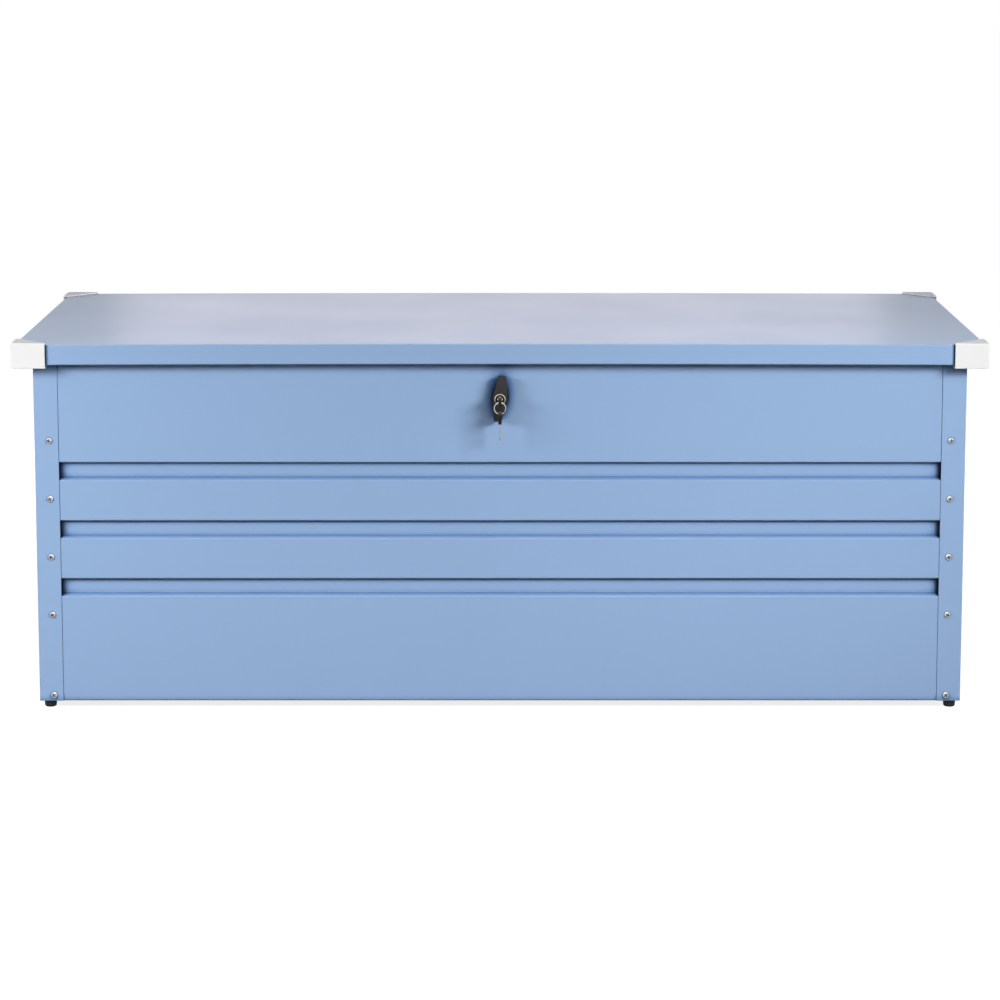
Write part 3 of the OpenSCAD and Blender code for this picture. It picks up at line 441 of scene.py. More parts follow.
def wallPath():
    w = wall
    path = [[w["baseFlange"], 0], [0, 0]]
    for i in range(w["grooves"]):
        z = w["base"] + i * w["pitch"]
        path += [[0, z], [w["depth"], z + w["slope"]], [w["depth"], z + w["height"] - w["ceiling"]],
                 [0, z + w["height"]]]
    path += [[0, wallHeight], [w["topFlange"], wallHeight], [w["topFlange"], wallHeight - w["topLip"]]]
    return divided(filleted(path, w["foldRadius"] + w["sheet"]), w["panelStep"])


# Sheet steel between folds is never quite flat: it draws in a little, most in the middle of a panel
def bulge(along, half, height):
    fade = max(0.0, 1 - (along / half) ** 2)
    swell = wall["bulge"] * fade * (0.5 + 0.5 * math.sin(along / 97 + height / 61))
    return swell * math.sin(height / 29) ** 2


def makeWalls():
    faces = sheetFaces(wallPath(), -wall["sheet"])
    bend = wall["foldRadius"] + wall["sheet"]
    longHalf = frontWallEnd.x
    sideLow, sideHigh = boxOf("right_panel")
    middle = (bodyFront + bodyBack) / 2
    sideHalf = (sideHigh.y - sideLow.y) / 2
    relief = sideHalf - (wall["baseFlange"] - wall["sheet"] - wall["depth"])

    def frontPlace(p, s):
        return [s, frontWall.y + p[0] + bulge(s, longHalf, p[1]), bodyZ + p[1]]

    def backPlace(p, s):
        return [s, backWallEnd.y - p[0] - bulge(s + 300, longHalf, p[1]), bodyZ + p[1]]

    def sidePlace(side):
        def place(p, s):
            inFlange = p[0] > bend and (p[1] < bend or p[1] > wallHeight - bend - wall["topLip"])
            along = max(-relief, min(relief, s)) if inFlange else s
            inwards = p[0] + bulge(s, sideHalf, p[1])
            return [side * (sideHigh.x - inwards), middle + along, bodyZ + p[1]]
        return place

    along = spread(-longHalf, longHalf, wall["step"])
    across = spread(-sideHalf, sideHalf, wall["step"])
    across[1], across[-2] = -relief, relief
    for name, node, stations, place in (
        ("frontWall", "front_panel", along, frontPlace), ("backWall", "back_panel", along, backPlace),
        ("leftWall", "left_panel", across, sidePlace(-1)), ("rightWall", "right_panel", across, sidePlace(1)),
    ):
        makePiece(name, [sweptSheet(faces, stations, place)], powderCoat, "root", [node])


makeWalls()


post = {"leg": 41, "sheet": 1.2, "foldRadius": 1.2, "step": 60}


def cornerPlace(side, end, x, y):
    return [side * (bodyX - x), (bodyBack - y) if end > 0 else (bodyFront + y)]


def makePosts():
    leg = post["leg"]
    path = filleted([[leg, 0], [0, 0], [0, leg]], post["foldRadius"] + post["sheet"], 8)
    faces = sheetFaces(path, -post["sheet"])
    stations = spread(bodyZ, bodyZ + wallHeight, post["step"])
    for side, end, node, name in atCorners("post"):
        def place(p, s):
            return cornerPlace(side, end, *p) + [s]
        makePiece(name, [sweptSheet(faces, stations, place)], powderCoat, "root", [node])


makePosts()
print("walls and posts made")


screw = {
    "headRadius": 5.6, "headHeight": 2.8, "flatShare": 0.72, "domeFall": 0.16, "shankRadius": 3, "length": 11,
    "crossRadius": 3.3, "crossWidth": 1.1, "crossDepth": 2.1, "threadStart": 5.5, "threadDepth": 0.4,
    "pitch": 1, "inset": 25, "drop": 32, "lowest": 10,
}


# Height of a pan head above its seat: nearly flat, then rounded over to the rim
def domeHeight(radius):
    s = screw
    r = radius / s["headRadius"]
    flat = s["flatShare"]
    if r < flat:
        return s["headHeight"] * (1 - s["domeFall"] * r ** 2)
    fall = math.sqrt(max(0, 1 - ((r - flat) / (1 - flat)) ** 2))
    return s["headHeight"] * fall * (1 - s["domeFall"] * flat ** 2)


# One screw along +Z, turned by an angle: cross recess, dome, rim and a threaded shank. The rings near the
# recess follow its cross, so that its walls stay straight.
def screwParts(turn):
    s = screw
    corner = math.atan2(s["crossWidth"], s["crossRadius"])
    third = (math.pi / 4 - corner) / 3
    eighth = [0, corner / 2, corner, corner + third, corner + 2 * third]
    quarter = eighth + [math.pi / 4] + [math.pi / 2 - a for a in eighth[:0:-1]]
    angles = [turn + i * math.pi / 2 + a for i in range(4) for a in quarter]
    count = len(angles)
    arms = [min(a, math.pi / 2 - a) for a in quarter] * 4
    cross = [s["crossRadius"] / math.cos(a) if a <= corner else s["crossWidth"] / math.sin(a) for a in arms]
    bottom = s["headHeight"] - s["crossDepth"]

    def ring(radii, z=None):
        return [[r * math.cos(a), r * math.sin(a), domeHeight(r) if z is None else z]
                for r, a in zip(radii, angles)]

    def circle(radius, z=None):
        return ring([radius] * count, z)

    rings = [ring([0.25 * r for r in cross], bottom), ring([0.8 * r for r in cross], bottom),
             ring([0.88 * r for r in cross], bottom + 0.25),
             ring([0.98 * r for r in cross], s["headHeight"] - 0.3), ring([r + 0.1 for r in cross])]
    flat = (s["flatShare"] - 0.01) * s["headRadius"]
    rings += [ring([r + 0.1 + (flat - r - 0.1) * share for r in cross]) for share in (0.12, 0.4, 0.7, 1)]
    for step in range(1, 8):
        rings.append(circle(flat + (s["headRadius"] - flat) * math.sin(math.pi / 2 * step / 7)))
    rings += [circle(s["headRadius"], 0), circle(s["shankRadius"], 0)]
    depth = s["threadStart"]
    while depth < s["length"]:
        rings += [circle(s["shankRadius"], -depth),
                  circle(s["shankRadius"] - s["threadDepth"], -depth - s["pitch"] / 2)]
        depth += s["pitch"]
    rings.append(circle(s["shankRadius"] - 0.6, -s["length"]))
    return ringStack(rings)


def makeWallScrews():
    s = screw
    lowestGroove = wall["base"] - s["drop"]
    heights = [s["lowest"]] + [lowestGroove + i * wall["pitch"] for i in range(wall["grooves"] + 1)]
    parts = []
    for side in (-1, 1):
        for end in (-1, 1):
            for i, height in enumerate(heights):
                for face in (0, 1):  # each screw stopped at an angle of its own
                    points, faces = screwParts(0.9 * i + 1.7 * side + 0.6 * end + 2.3 * face)
                    placed = []
                    for x, y, z in points:
                        if face == 0:  # out of the front or the back
                            flat = cornerPlace(side, end, s["inset"] + x, -z)
                        else:  # out of the left or the right side
                            flat = cornerPlace(side, end, -z, s["inset"] + x)
                        placed.append(flat + [bodyZ + height + y])
                    parts.append((placed, faces))
    makePiece("wallScrews", parts, brightZinc, "root", ["wall_screws"])


makeWallScrews()


foot = {"radius": 10.8, "taper": 0.6, "height": 13, "toe": 3.2, "rim": 0.9, "studRadius": 3, "flutes": 24,
        "fluteDepth": 0.22, "around": 96}


def footProfile():
    f = foot
    base = f["radius"] - f["taper"]
    profile = [(base - f["toe"] * 1.2, 0.0)]
    profile += [(base - f["toe"] * inset, f["toe"] * height) for inset, height in roundOver(6)]
    return profile + [(f["radius"] - 0.15, f["height"] - f["rim"]), (f["radius"] - 0.7, f["height"])]


def makeFeet():
    f = foot
    angles = [math.tau * i / f["around"] for i in range(f["around"])]
    for _, _, node, name in atCorners("foot"):
        low, high = boxOf(node)
        x, y = (low.x + high.x) / 2, (low.y + high.y) / 2
        rings = []
        for radius, z in footProfile():
            depth = f["fluteDepth"] if f["toe"] < z < f["height"] - 1 else 0
            ring = []
            for a in angles:
                r = radius - depth * math.cos(a * f["flutes"]) ** 2
                ring.append([x + r * math.cos(a), y + r * math.sin(a), z])
            rings.append(ring)
        for z in (f["height"], high.z):
            rings.append([[x + p, y + q, z] for p, q in circleAt(f["studRadius"], f["around"])])
        makePiece(name, [ringStack(rings)], footRubber, "root", [node])


makeFeet()
print("screws and feet made")


lid = {"sheet": 0.8, "foldRadius": 1.2, "flange": 12, "bow": 1.8, "dent": 0.35, "stepX": 40, "stepY": 43,
       "ribHeight": 16, "ribWidth": 36, "ribLean": 3, "ribFlange": 14, "ribStep": 45}
lidHalfX, lidHalfY = lidHigh.x, lidHigh.y
lidTop = lidHigh.z
lidHeight = lidHigh.z - lidLow.z


# The lid springs up a little between its ends, and its broad top has shallow dents
def crown(x, y):
    bow = lid["bow"] * (1 - (x / lidHalfX) ** 2)
    window = max(0, 1 - (y / lidHalfY) ** 2) * max(0, 1 - (x / lidHalfX) ** 2)
    return bow + lid["dent"] * window * math.sin(x / 118 + 0.8) * math.cos(y / 96 + x / 300)


def makeLid():
    bend = lid["foldRadius"] + lid["sheet"]
    flange = lid["flange"]
    start = bend + 0.5  # a short flat before each fold, where both faces of the sheet meet the top squarely
    edgeX, edgeY = lidHalfX - start, lidHalfY - start
    xs, ys = spread(-edgeX, edgeX, lid["stepX"]), spread(-edgeY, edgeY, lid["stepY"])
    points, quads = [], []
    for level in (0, lid["sheet"]):
        points += [[x, y, lidTop - level + crown(x, y)] for y in ys for x in xs]
    columns, half = len(xs), len(xs) * len(ys)
    for r in range(len(ys) - 1):
        for c in range(columns - 1):
            quad = [r * columns + c, r * columns + c + 1, (r + 1) * columns + c + 1, (r + 1) * columns + c]
            quads += [quad, [half + i for i in quad]]
    parts = [(points, quads)]
    # Folded edges: out over the roll, down the apron and, except at the back, in along the flange
    roll = [[-start, lidHeight], [0, lidHeight], [0, 0]]
    withFlange = filleted(roll + [[-flange, 0]], bend)
    withoutFlange = filleted(roll, bend)

    def edgePlace(axis, sign):
        def place(p, s):
            x, y = (s, sign * (lidHalfY + p[0])) if axis == "x" else (sign * (lidHalfX + p[0]), s)
            return [x, y, lidLow.z + p[1] + crown(max(-edgeX, min(edgeX, x)), max(-edgeY, min(edgeY, y)))]
        return place

    for path, stations, axis, sign in (
        (withFlange, xs, "x", -1), (withoutFlange, xs, "x", 1),
        (withFlange, ys, "y", -1), (withFlange, ys, "y", 1),
    ):
        near, far = sheetFaces(path, -lid["sheet"], roundStart=False)
        place = edgePlace(axis, sign)
        size = 2 * len(near)
        strip = [place(p, s) for s in stations for p in near + far[::-1]]
        faces = []
        for r in range(len(stations) - 1):
            for i in range(size - 1):
                faces.append([r * size + i, r * size + i + 1, (r + 1) * size + i + 1, (r + 1) * size + i])
        for base in (0, (len(stations) - 1) * size):
            for i in range(len(near) - 1):
                faces.append([base + i, base + i + 1, base + size - 2 - i, base + size - 1 - i])
        parts.append((strip, faces))
    makePiece("lidPanel", parts, powderCoat, "lid", ["lid_panel"])


makeLid()


def makeRibs():
    height, half = lid["ribHeight"] - lid["sheet"], lid["ribWidth"] / 2
    wide = half + lid["ribLean"]
    path = [[-wide - lid["ribFlange"], height], [-wide, height], [-half, 0], [half, 0], [wide, height],
            [wide + lid["ribFlange"], height]]
    faces = sheetFaces(filleted(path, lid["foldRadius"]), lid["sheet"])
    for place in ("left", "middle", "right"):
        low, high = boxOf(f"lid_rib_{place}")
        middle = (low.x + high.x) / 2

        def placed(p, s):
            follow = crown(middle + p[0], s) * max(0, p[1]) / height
            return [middle + p[0], s, low.z + p[1] + follow]
        stations = spread(low.y, high.y, lid["ribStep"])
        makePiece(place + "LidRib", [sweptSheet(faces, stations, placed)], powderCoat, "lid",
                  [f"lid_rib_{place}"])


makeRibs()
print("lid and ribs made")


cap = {"length": 58, "proud": 5, "end": 7, "rise": 3, "drop": 5, "lipThickness": 2.5, "lip": 10, "backLip": 5,
       "cornerRadius": 4, "topRadius": 2.2, "lowRadius": 0.9, "gap": 0.3, "pocket": 5, "skin": 1.8,
       "legStep": 8, "turnSteps": 9}


# One closed section for each station round the corner: lip, wall, rounded top edge, plate, then back inside
def capRings(side, end):
    c = cap
    low, high = -c["proud"], c["length"] - c["proud"]
    bottom, top = lidLow.z - c["drop"], lidTop + c["rise"]
    r = c["cornerRadius"]
    diagonal = ([high, c["end"] - c["proud"]], [c["end"] - c["proud"], high])
    pocket = [high - 0.4, high - c["pocket"], high - c["pocket"] - 0.5]
    leg = [high] + pocket + spread(pocket[-1], low + r, c["legStep"])[1:]
    stations = [("x", x) for x in leg]
    stations += [("turn", k / c["turnSteps"]) for k in range(1, c["turnSteps"])]
    stations += [("y", y) for y in leg[::-1]]
    rings = []
    for i, (run, value) in enumerate(stations):
        share = i / (len(stations) - 1)
        if run == "x":
            outer, out = [value, low], [0, -1]
        elif run == "y":
            outer, out = [low, value], [-1, 0]
        else:
            a = math.pi / 2 * value
            out = [-math.sin(a), -math.cos(a)]
            outer = [low + r + r * out[0], low + r + r * out[1]]
        edge = between(*diagonal, share)
        # The wall is a thin skin where its end stands open
        hollow = run != "turn" and high - value < c["pocket"] + 0.01
        gap = c["proud"] - c["skin"] if hollow else c["gap"]

        def inside(depth):
            return [max(value, depth) if run == axis else depth for axis in ("x", "y")]

        def at(depth):
            return [outer[0] - out[0] * depth, outer[1] - out[1] * depth]

        lipDepth = c["lip"] if run == "y" or end < 0 else c["backLip"]
        section = [inside(lipDepth) + [bottom + c["lipThickness"]], inside(lipDepth) + [bottom]]
        section += [at(c["lowRadius"] * inset) + [bottom + c["lowRadius"] * height]
                    for inset, height in roundOver(3)]
        section += [at(c["topRadius"] * inset) + [top - c["topRadius"] * fall]
                    for fall, inset in roundOver(5)]
        # The plate's slanting edge rolls down to the lid
        inwards = unit([-1, -1])
        for back, fall in ((0.9, 0), (0.35, 0.15), (0.08, 0.5), (0, 1.1)):
            section.append([edge[0] + inwards[0] * back, edge[1] + inwards[1] * back, top - fall])
        section.append(edge + [lidTop])
        section.append(inside(-gap) + [lidTop])
        section.append(inside(-gap) + [bottom + c["lipThickness"]])
        x0, y0 = side * lidHalfX, end * lidHalfY
        rings.append([[x0 - side * x, y0 - end * y, z] for x, y, z in section])
    return rings


def makeCaps():
    for side, end, node, name in atCorners("cap"):
        rings = capRings(side, end)
        points, faces = ringStack(rings, "open")
        size = len(rings[0])
        faces += [list(range(size)), [len(points) - size + i for i in range(size)]]
        makePiece(name, [(points, faces)], whitePolypropylene, "lid", [node])


makeCaps()
print("caps made")


lock = {
    "rosetteRadius": 15.4, "rosetteHeight": 5, "rosetteEdge": 1.6, "barrelRadius": 9.5, "barrelLength": 14,
    "boreRadius": 7.05, "threadDepth": 0.6, "threadPitch": 1, "threadEnd": 8, "neckRadius": 10.5, "neck": 4,
    "gap": 0.3, "gripDepth": 14, "gripLength": 78, "gripEnd": 13.5, "gripMiddle": 12.1, "gripEdge": 1.9,
    "gripBackEdge": 1.2, "gripCrown": 0.9, "lean": 6, "bezelRadius": 9.6, "bezelInner": 7.45,
    "bezelDepth": 3, "proud": 0.8, "plugRadius": 7.4, "coreRadius": 4.8, "slotWidth": 2.3, "slotHeight": 7.7,
    "keyReach": 27, "spindleRadius": 7, "square": 7, "camDepth": 30, "camThickness": 3,
}
wallFace = frontWall.y
gripBack = wallFace - lock["rosetteHeight"] - lock["gap"] - lock["neck"]
gripFront = gripBack - lock["gripDepth"]


def faceRing(outline, y):
    return [[p[0], y, lockZ + p[1]] for p in outline]


def turnedProfile(profile, count=72):
    return [faceRing(circleAt(r, count), y) for r, y in profile]


def makeRosette():
    k = lock
    front, back = wallFace - k["rosetteHeight"], wallFace + k["barrelLength"]
    profile = [(k["boreRadius"], back), (k["barrelRadius"] - 0.5, back)]
    half = k["threadPitch"] / 2
    depth = k["barrelLength"] - half
    while depth > k["threadEnd"]:  # thread on the barrel
        profile += [(k["barrelRadius"], wallFace + depth),
                    (k["barrelRadius"] - k["threadDepth"], wallFace + depth - half)]
        depth -= k["threadPitch"]
    profile += [(k["barrelRadius"], wallFace), (k["rosetteRadius"], wallFace)]
    edge = k["rosetteEdge"]
    profile += [(k["rosetteRadius"] - edge * inset, front + edge * fall) for fall, inset in roundOver(6)]
    dish = k["neckRadius"] + 1.4
    profile += [(dish, front), (dish - 0.5, front + 0.5), (k["boreRadius"], front + 0.5)]
    makePiece("lockRosette", [ringStack(turnedProfile(profile), "loop")], polishedAbsPaintedShade, "root",
              ["lock_rosette"])


makeRosette()


# Two tapering wings round a wide middle, leaning to the right
def gripOutline():
    k = lock
    tip, end, middle = k["gripLength"] / 2, k["gripEnd"] / 2, k["gripMiddle"]
    corners = [[end, tip], [-end, tip], [-middle, 0], [-end, -tip], [end, -tip], [middle, 0]]
    radii = [2.4, 2.4, 11, 2.4, 2.4, 11]
    outline = divided(filleted(corners, radii, 8, closed=True), 3.5)
    lean = -math.radians(k["lean"])
    c, s = math.cos(lean), math.sin(lean)
    return [[x * c - y * s, x * s + y * c] for x, y in outline]


def makeHandle():
    k = lock
    outline = gripOutline()
    angles = [math.atan2(y, x) for x, y in outline]
    count = len(outline)

    def circle(radius, y):
        return faceRing(circleAt(radius, count, angles), y)

    def gripRing(inset, y):
        return faceRing(shifted(outline, inset, closed=True), y)

    def crowned(ring):
        tip = k["gripLength"] / 2
        return [[x, y + k["gripCrown"] * (((z - lockZ) ** 2 + x ** 2) / tip ** 2), z] for x, y, z in ring]

    core = k["coreRadius"] + 0.05
    bezel = k["bezelRadius"] + 0.05
    seat = gripFront + k["bezelDepth"]
    rings = [circle(core, gripBack + 15.2), circle(core, gripBack - 0.5),
             circle(k["bezelInner"], gripBack - 0.5), circle(k["bezelInner"], seat),
             circle(bezel, seat), circle(bezel, gripFront + 0.15)]
    edge, backEdge = k["gripEdge"], k["gripBackEdge"]
    rings += [crowned(gripRing(edge * inset, gripFront + edge * fall)) for inset, fall in roundOver(6)]
    rings += [gripRing(backEdge * inset, gripBack - backEdge * fall) for fall, inset in roundOver(4)]
    neckEnd = gripBack + k["neck"]
    rings += [circle(k["neckRadius"] + 0.8, gripBack), circle(k["neckRadius"], gripBack + 0.8),
              circle(k["neckRadius"], neckEnd - 0.4), circle(k["neckRadius"] - 0.4, neckEnd),
              circle(k["spindleRadius"], neckEnd)]
    camFace = wallFace + k["camDepth"]
    rings.append(circle(k["spindleRadius"], camFace))
    squared = []
    for a in angles:
        reach = k["square"] / 2 / max(abs(math.cos(a)), abs(math.sin(a)))
        squared.append([reach * math.cos(a), reach * math.sin(a)])
    rings += [faceRing(squared, camFace), faceRing(squared, camFace + k["camThickness"])]
    makePiece("lockHandle", [ringStack(rings)], blackAbs, "handle", ["lock_handle"])


makeHandle()


def makeBezel():
    k = lock
    back, front = gripFront + k["bezelDepth"], gripFront - k["proud"]
    crest = (k["bezelRadius"] + k["bezelInner"]) / 2
    half = (k["bezelRadius"] - k["bezelInner"]) / 2
    profile = [(k["bezelInner"], back), (k["bezelRadius"], back)]
    for step in range(9):
        a = math.pi * step / 8
        profile.append((crest + half * math.cos(a), gripFront - 0.1 - (k["proud"] - 0.1) * math.sin(a)))
    makePiece("lockBezel", [ringStack(turnedProfile(profile, 96), "loop")], chromePlate, "handle",
              ["lock_bezel"])


makeBezel()


# The plug: a chromed core with the keyway, in a black collar
def makePlug():
    k = lock
    face = gripFront - k["proud"]
    halfX, halfZ = k["slotWidth"] / 2, k["slotHeight"] / 2
    corners = [math.atan2(z, x) for x in (halfX, -halfX) for z in (halfZ, -halfZ)]
    angles = sorted([math.tau * i / 64 - math.pi for i in range(64)] + corners)
    count = len(angles)

    def circle(radius, y):
        return faceRing(circleAt(radius, count, angles), y)

    slot = []
    for a in angles:
        scale = min(halfX / max(abs(math.cos(a)), 1e-9), halfZ / max(abs(math.sin(a)), 1e-9))
        slot.append([scale * math.cos(a), scale * math.sin(a)])
    core = k["coreRadius"]
    slotEnd = face + k["keyReach"]
    rings = [faceRing(slot, slotEnd), faceRing(slot, face + 0.9),
             faceRing([[x * 1.15, z * 1.04] for x, z in slot], face + 0.6), circle(core - 0.55, face + 0.55),
             circle(core - 0.35, face + 0.1), circle(core - 0.1, face), circle(core, face + 0.15),
             circle(core, slotEnd + 1.8)]
    makePiece("lockPlugCore", [ringStack(rings)], chromePlate, "key", ["lock_plug"])
    rim = k["plugRadius"]
    profile = [(core + 0.05, gripBack - 0.8), (core + 0.05, face + 0.9), (core + 0.5, face + 0.75),
               (rim - 0.7, face + 0.75), (rim - 0.1, face + 1.1), (rim, gripBack - 0.8)]
    makePiece("lockPlugCollar", [ringStack(turnedProfile(profile, 64), "loop")], polishedAbsPaintedShade, "key",
              ["lock_plug"])


makePlug()
print("lock made")


key = {"bow": 10, "thickness": 5.5, "hole": 4.75, "collar": 5, "blade": 27, "bladeHeight": 7.6,
       "bladeThickness": 2.2, "edge": 1.1, "panelDepth": 0.35, "groove": 0.5, "step": 0.45,
       "cuts": [1.1, 2.0, 0.8, 1.7, 1.3], "cutPitch": 4.2, "firstCut": 19.5}


# The moulded bow lies in its own plane: u runs along the blade, v across it and w through it
def bowRings():
    k = key
    half = k["bladeHeight"] / 2
    join = math.atan2(half, math.sqrt(k["bow"] ** 2 - half ** 2))
    arc = [[k["bow"] * math.cos(a), k["bow"] * math.sin(a)]
           for a in [join + (math.tau - 2 * join) * i / 60 for i in range(61)]]
    end = k["bow"] + k["collar"]
    neck = filleted([arc[-1], [end, -half], [end, half], arc[0]], 1.2, 5)
    outline = arc + divided(neck, 1.2)[1:-1]
    angles = [math.atan2(v, u) for u, v in outline]
    h, e = k["thickness"] / 2, k["edge"]

    def ring(inset, w):
        return [[u, v, w] for u, v in shifted(outline, inset, closed=True)]

    def hole(radius, w):
        return [[u, v, w] for u, v in circleAt(radius, len(outline), angles)]

    rings = []
    for sign in (1, -1):
        wing = [hole(k["hole"], sign * (h - 0.8)), hole(k["hole"] + 0.25, sign * (h - 0.25)),
                hole(k["hole"] + 0.8, sign * h), hole(k["hole"] + 1.2, sign * h),
                hole(k["hole"] + 1.45, sign * (h - k["panelDepth"])), ring(2.3, sign * (h - k["panelDepth"])),
                ring(2.0, sign * h)]
        wing += [ring(e * inset, sign * (h - e * fall)) for inset, fall in roundOver(5)]
        rings += wing if sign > 0 else wing[::-1]
    return rings


# Depth of the cuts in the blade's edge, as V notches with flat floors
def cutDepth(along):
    k = key
    deepest = 0
    for i, depth in enumerate(k["cuts"]):
        away = abs(along - k["firstCut"] - i * k["cutPitch"])
        deepest = max(deepest, min(depth, depth + 0.6 - away))
    return max(0, deepest)


def bladeRings():
    k = key
    start, end = k["bow"] + 1, k["bow"] + k["collar"] + k["blade"]
    half, t = k["bladeHeight"] / 2, k["bladeThickness"] / 2
    rings = []
    for u in spread(start, end, k["step"]):
        tip = max(0, u - (end - 3)) * 0.75
        low, high = -half + max(cutDepth(u), tip), half - tip
        thin = t - (0.35 if u > end - 0.3 else 0)
        groove = k["groove"] if u > k["bow"] + k["collar"] else 0
        side = [(low + 0.25, 0), (0.4, 0), (0.8, groove), (2.0, groove), (2.4, 0), (high - 0.25, 0)]
        ring = [[u, max(low + 0.2, min(high - 0.2, v)), thin - inset] for v, inset in side]
        ring += [[u, high, thin - 0.25], [u, high, 0.25 - thin]]
        ring += [[u, max(low + 0.2, min(high - 0.2, v)), inset - thin] for v, inset in side[::-1]]
        ring += [[u, low, 0.25 - thin], [u, low, thin - 0.25]]
        rings.append(ring)
    return rings


def makeKey(name, node, body, centre, hanging):
    def placed(part):
        points, faces = part
        spots = []
        for u, v, w in points:
            y, z = (-v, -u) if hanging else (u, v)
            spots.append([centre[0] + w, centre[1] + y, centre[2] + z])
        return spots, faces

    for end, rings, ends, finish in (("Bow", bowRings(), "loop", polishedAbsPaintedShade),
                                     ("Blade", bladeRings(), "fan", milledNickel)):
        makePiece(name + end, [placed(ringStack(rings, ends))], finish, body, [node])


ringLow, ringHigh = boxOf("key_ring")
keyLow, _ = boxOf("lock_key")
spareLow, spareHigh = boxOf("spare_key")
makeKey("lockKey", "lock_key", "key", (0, keyLow.y + key["bow"], lockZ), False)
makeKey("spareKey", "spare_key", "spare", (0, (spareLow.y + spareHigh.y) / 2, spareHigh.z - key["bow"]), True)


# A split ring: two turns of flattened wire side by side, with one short cross-over
splitRing = {"radius": 9.7, "wireOut": 0.85, "wireAlong": 0.48, "turns": 2, "steps": 72, "crossing": 0.09,
             "start": 2.4, "around": 10}


def makeSplitRing():
    k = splitRing
    centre = (ringLow + ringHigh) / 2
    total = k["turns"] * k["steps"]
    rings = []
    for i in range(total + 1):
        turn = i / k["steps"]
        a = math.tau * turn + k["start"]
        share = max(0, min(1, (turn - 1 + k["crossing"]) / (2 * k["crossing"])))
        share = share * share * (3 - 2 * share)
        offset = (share - 0.5) * 2 * (k["wireAlong"] + 0.02)
        end = min(i, total - i)
        thin = (0.45, 0.85, 1)[min(end, 2)]  # both ends of the wire are ground round
        ring = []
        for j in range(k["around"]):
            b = math.tau * j / k["around"]
            out = k["radius"] + k["wireOut"] * thin * math.cos(b)
            along = offset + k["wireAlong"] * thin * math.sin(b)
            ring.append([centre.x + out * math.sin(a), centre.y + along, centre.z + out * math.cos(a)])
        rings.append(ring)
    makePiece("splitRing", [ringStack(rings)], chromePlate, "ring", ["key_ring"])


makeSplitRing()
print("keys and ring made")


keptFinishes = [
    (powderCoat, ["floor_left", "floor_middle", "floor_right"]),
    (pressedZinc, ["foot_brackets", "left_hinge_body_leaf", "right_hinge_body_leaf", "left_hinge_lid_leaf",
                   "right_hinge_lid_leaf", "left_strut_body_bracket", "right_strut_body_bracket",
                   "left_strut_lid_bracket", "right_strut_lid_bracket", "lock_cam", "lock_striker"]),
    (brightZinc, ["foot_nuts", "wall_nuts", "body_fitting_screws", "lid_fitting_screws", "cam_bolt",
                  "lock_nut", "hinge_pins"]),
    (blackEnamel, ["left_strut_cylinder", "right_strut_cylinder"]),
    (groundChrome, ["left_strut_rod", "right_strut_rod"]),
    (filledNylon, ["left_strut_lower_socket", "right_strut_lower_socket", "left_strut_upper_socket",
                   "right_strut_upper_socket"]),
]
for finish, names in keptFinishes:
    for name in names:
        for holder in nodes[name].material_slots:
            holder.material = finish
print("kept solids dressed:", sum(len(names) for _, names in keptFinishes))


studio = {
    "floorSize": 60, "floorColour": "#969696", "glow": 0.82, "mirrored": 0.25, "nearRadius": 1.3,
    "farRadius": 2.4, "fill": "#1A2C49",
}


def makeFloor():
    half = studio["floorSize"] / 2
    corners = [(-half, -half, 0), (half, -half, 0), (half, half, 0), (-half, half, 0)]
    mesh = bpy.data.meshes.new("floor")
    mesh.from_pydata(corners, [], [(0, 1, 2, 3)])
    floor = bpy.data.objects.new("floor", mesh)
    bpy.context.scene.collection.objects.link(floor)
    material, tree = newMaterial("paleStudioFloor")
    mesh.materials.append(material)
    # The floor takes the box's shadow near it and melts into white further off
    ray = addNode(tree, "LightPath").outputs
    place = addNode(tree, "TexCoord").outputs["Object"]
    away = addNode(tree, "VectorMath", {"operation": "LENGTH"}, {0: place})
    fade = addNode(tree, "MapRange", {"interpolation_type": "SMOOTHSTEP", "From Min": studio["nearRadius"],
                                      "From Max": studio["farRadius"], "To Min": studio["glow"]},
                   {"Value": away.outputs["Value"]})
    mirrored = addNode(tree, "Math", {"operation": "MULTIPLY", 1: studio["mirrored"]},
                       {0: ray["Is Glossy Ray"]})
    through = addNode(tree, "Math", {"operation": "ADD"},
                      {0: mirrored.outputs[0], 1: ray["Is Transmission Ray"]})
    seen = addNode(tree, "Math", {"operation": "ADD", "use_clamp": True},
                   {0: ray["Is Camera Ray"], 1: through.outputs[0]})
    level = addNode(tree, "Math", {"operation": "MULTIPLY"}, {0: fade.outputs[0], 1: seen.outputs[0]})
    matt = addNode(tree, "BsdfDiffuse", {"Color": linear(studio["floorColour"])})
    white = addNode(tree, "Emission", {"Color": (1, 1, 1, 1)}, {"Strength": level.outputs[0]})
    both = addNode(tree, "AddShader", (), {0: matt.outputs[0], 1: white.outputs[0]})
    addNode(tree, "OutputMaterial", (), {"Surface": both.outputs[0]})


def makeWorld():
    world = bpy.data.worlds.new("studioWorld")
    bpy.context.scene.world = world
    world.use_nodes = True
    tree = world.node_tree
    tree.nodes.clear()
    ray = addNode(tree, "LightPath").outputs
    glossy = addNode(tree, "Math", {"operation": "ADD"},
                     {0: ray["Is Glossy Ray"], 1: ray["Is Transmission Ray"]})
    white = addNode(tree, "Math", {"operation": "ADD", "use_clamp": True},
                    {0: glossy.outputs[0], 1: ray["Is Camera Ray"]})
    shown = addNode(tree, "Mix", {"data_type": "RGBA", 6: linear(studio["fill"]), 7: (1, 1, 1, 1)},
                    {0: white.outputs[0]})
    background = addNode(tree, "Background", {"Strength": 1.0}, {"Color": shown.outputs[2]})
    addNode(tree, "OutputWorld", (), {"Surface": background.outputs[0]})


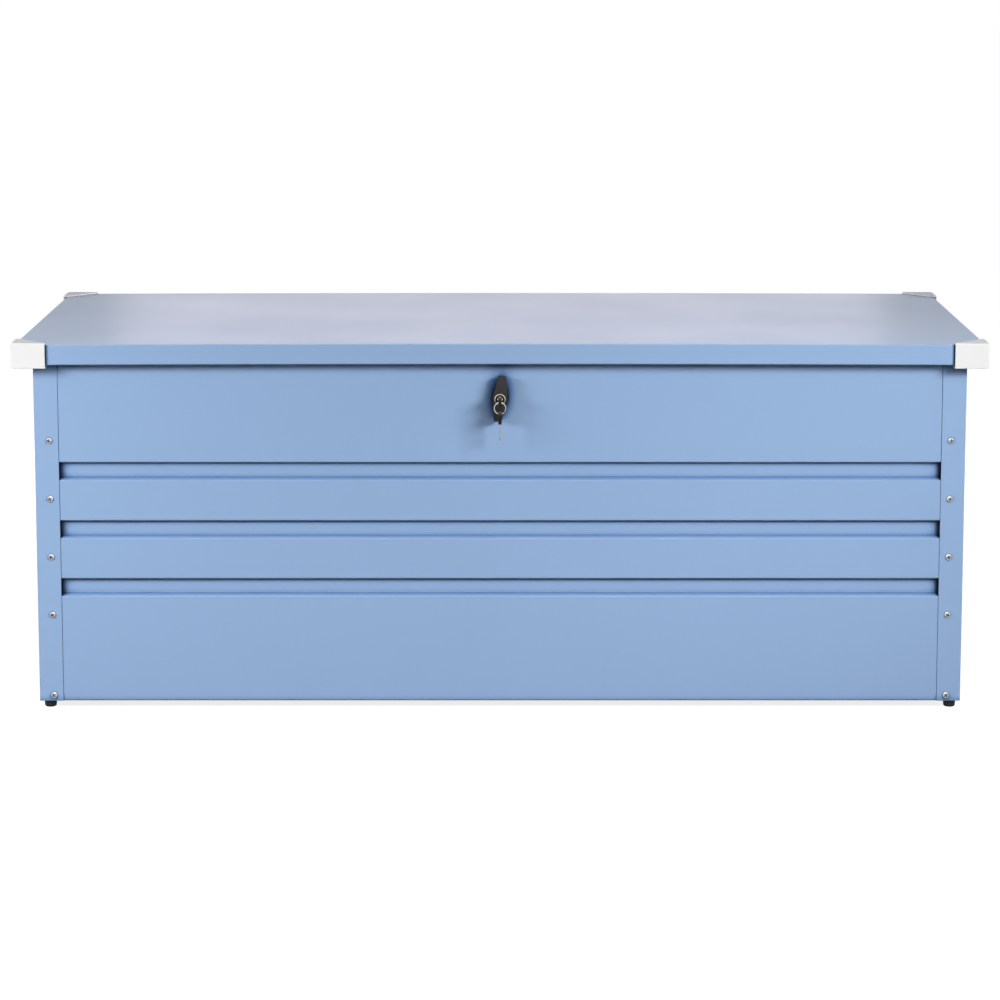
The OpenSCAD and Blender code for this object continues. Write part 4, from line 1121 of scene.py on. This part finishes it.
# Where each lamp stands, what it points at, its size, how wide it spreads and its power in watts. The soft
# boxes light the box and don't mirror in it. The cards only mirror: one behind the lid, one overhead that
# draws the folds, and two that are there for the plated pieces alone.
lamps = {
    "rightSoftBox": {"at": (1.6, -1.9, 1.35), "aim": (-0.2, -0.3, -0.05), "size": (1.05, 0.6), "spread": 90,
                     "watts": 15.9},
    "leftSoftBox": {"at": (-1.65, -1.35, 1.08), "aim": (-0.55, -0.3, 0.0), "size": (0.75, 0.4), "spread": 120,
                    "watts": 11.2},
    "backRightSoftBox": {"at": (2.4, 1.9, 0.7), "aim": (0.2, 0.3, 0.3), "size": (1.0, 0.7), "spread": 150,
                         "watts": 43},
    "backLeftSoftBox": {"at": (-2.4, 1.9, 0.7), "aim": (-0.2, 0.3, 0.3), "size": (1.0, 0.7), "spread": 150,
                        "watts": 43},
    "behindCardStrip": {"at": (0, 2.5, 1.15), "aim": (0, 0, 1.1), "size": (2.0, 1.1), "spread": 180,
                        "watts": 4.7, "card": "all", "tint": "#FFF0FF"},
    "overheadCardStrip": {"at": (0, -0.4, 2.4), "aim": (0, -0.35, 0.6), "size": (2.4, 0.7), "spread": 180,
                          "watts": 60, "card": "all"},
    "frontCardStrip": {"at": (0, -3.2, 0.6), "aim": (0, 0, 0.4), "size": (3.0, 1.6), "spread": 180,
                       "watts": 26, "card": "metal"},
    "backCardStrip": {"at": (0, 3.2, 0.6), "aim": (0, 0, 0.4), "size": (3.0, 1.6), "spread": 180, "watts": 22,
                      "card": "metal"},
}


def makeLamps():
    platedPieces = bpy.data.collections.new("platedPieces")
    plated = (brightZinc, pressedZinc, chromePlate, milledNickel)
    for piece in bpy.context.scene.objects:
        if any(holder.material in plated for holder in piece.material_slots):
            platedPieces.objects.link(piece)
    for name, spec in lamps.items():
        data = bpy.data.lights.new(name, "AREA")
        data.shape = "RECTANGLE"
        data.size, data.size_y = spec["size"]
        data.spread = math.radians(spec["spread"])
        data.energy = spec["watts"]
        data.color = linear(spec.get("tint", "#FFFFFF"))[:3]
        lamp = bpy.data.objects.new(name, data)
        lamp.location = spec["at"]
        x, y, z = [a - b for a, b in zip(spec["aim"], spec["at"])]
        lamp.rotation_euler = (math.atan2(math.hypot(x, y), -z), 0, math.atan2(x, -y) + math.pi)
        card = spec.get("card")
        lamp.visible_camera = False
        lamp.visible_diffuse = card is None
        lamp.visible_glossy = card is not None
        if card == "metal":
            lamp.light_linking.receiver_collection = platedPieces
        bpy.context.scene.collection.objects.link(lamp)


makeFloor()
makeWorld()
makeLamps()
bpy.context.scene.view_settings.view_transform = "Standard"
print("studio made")
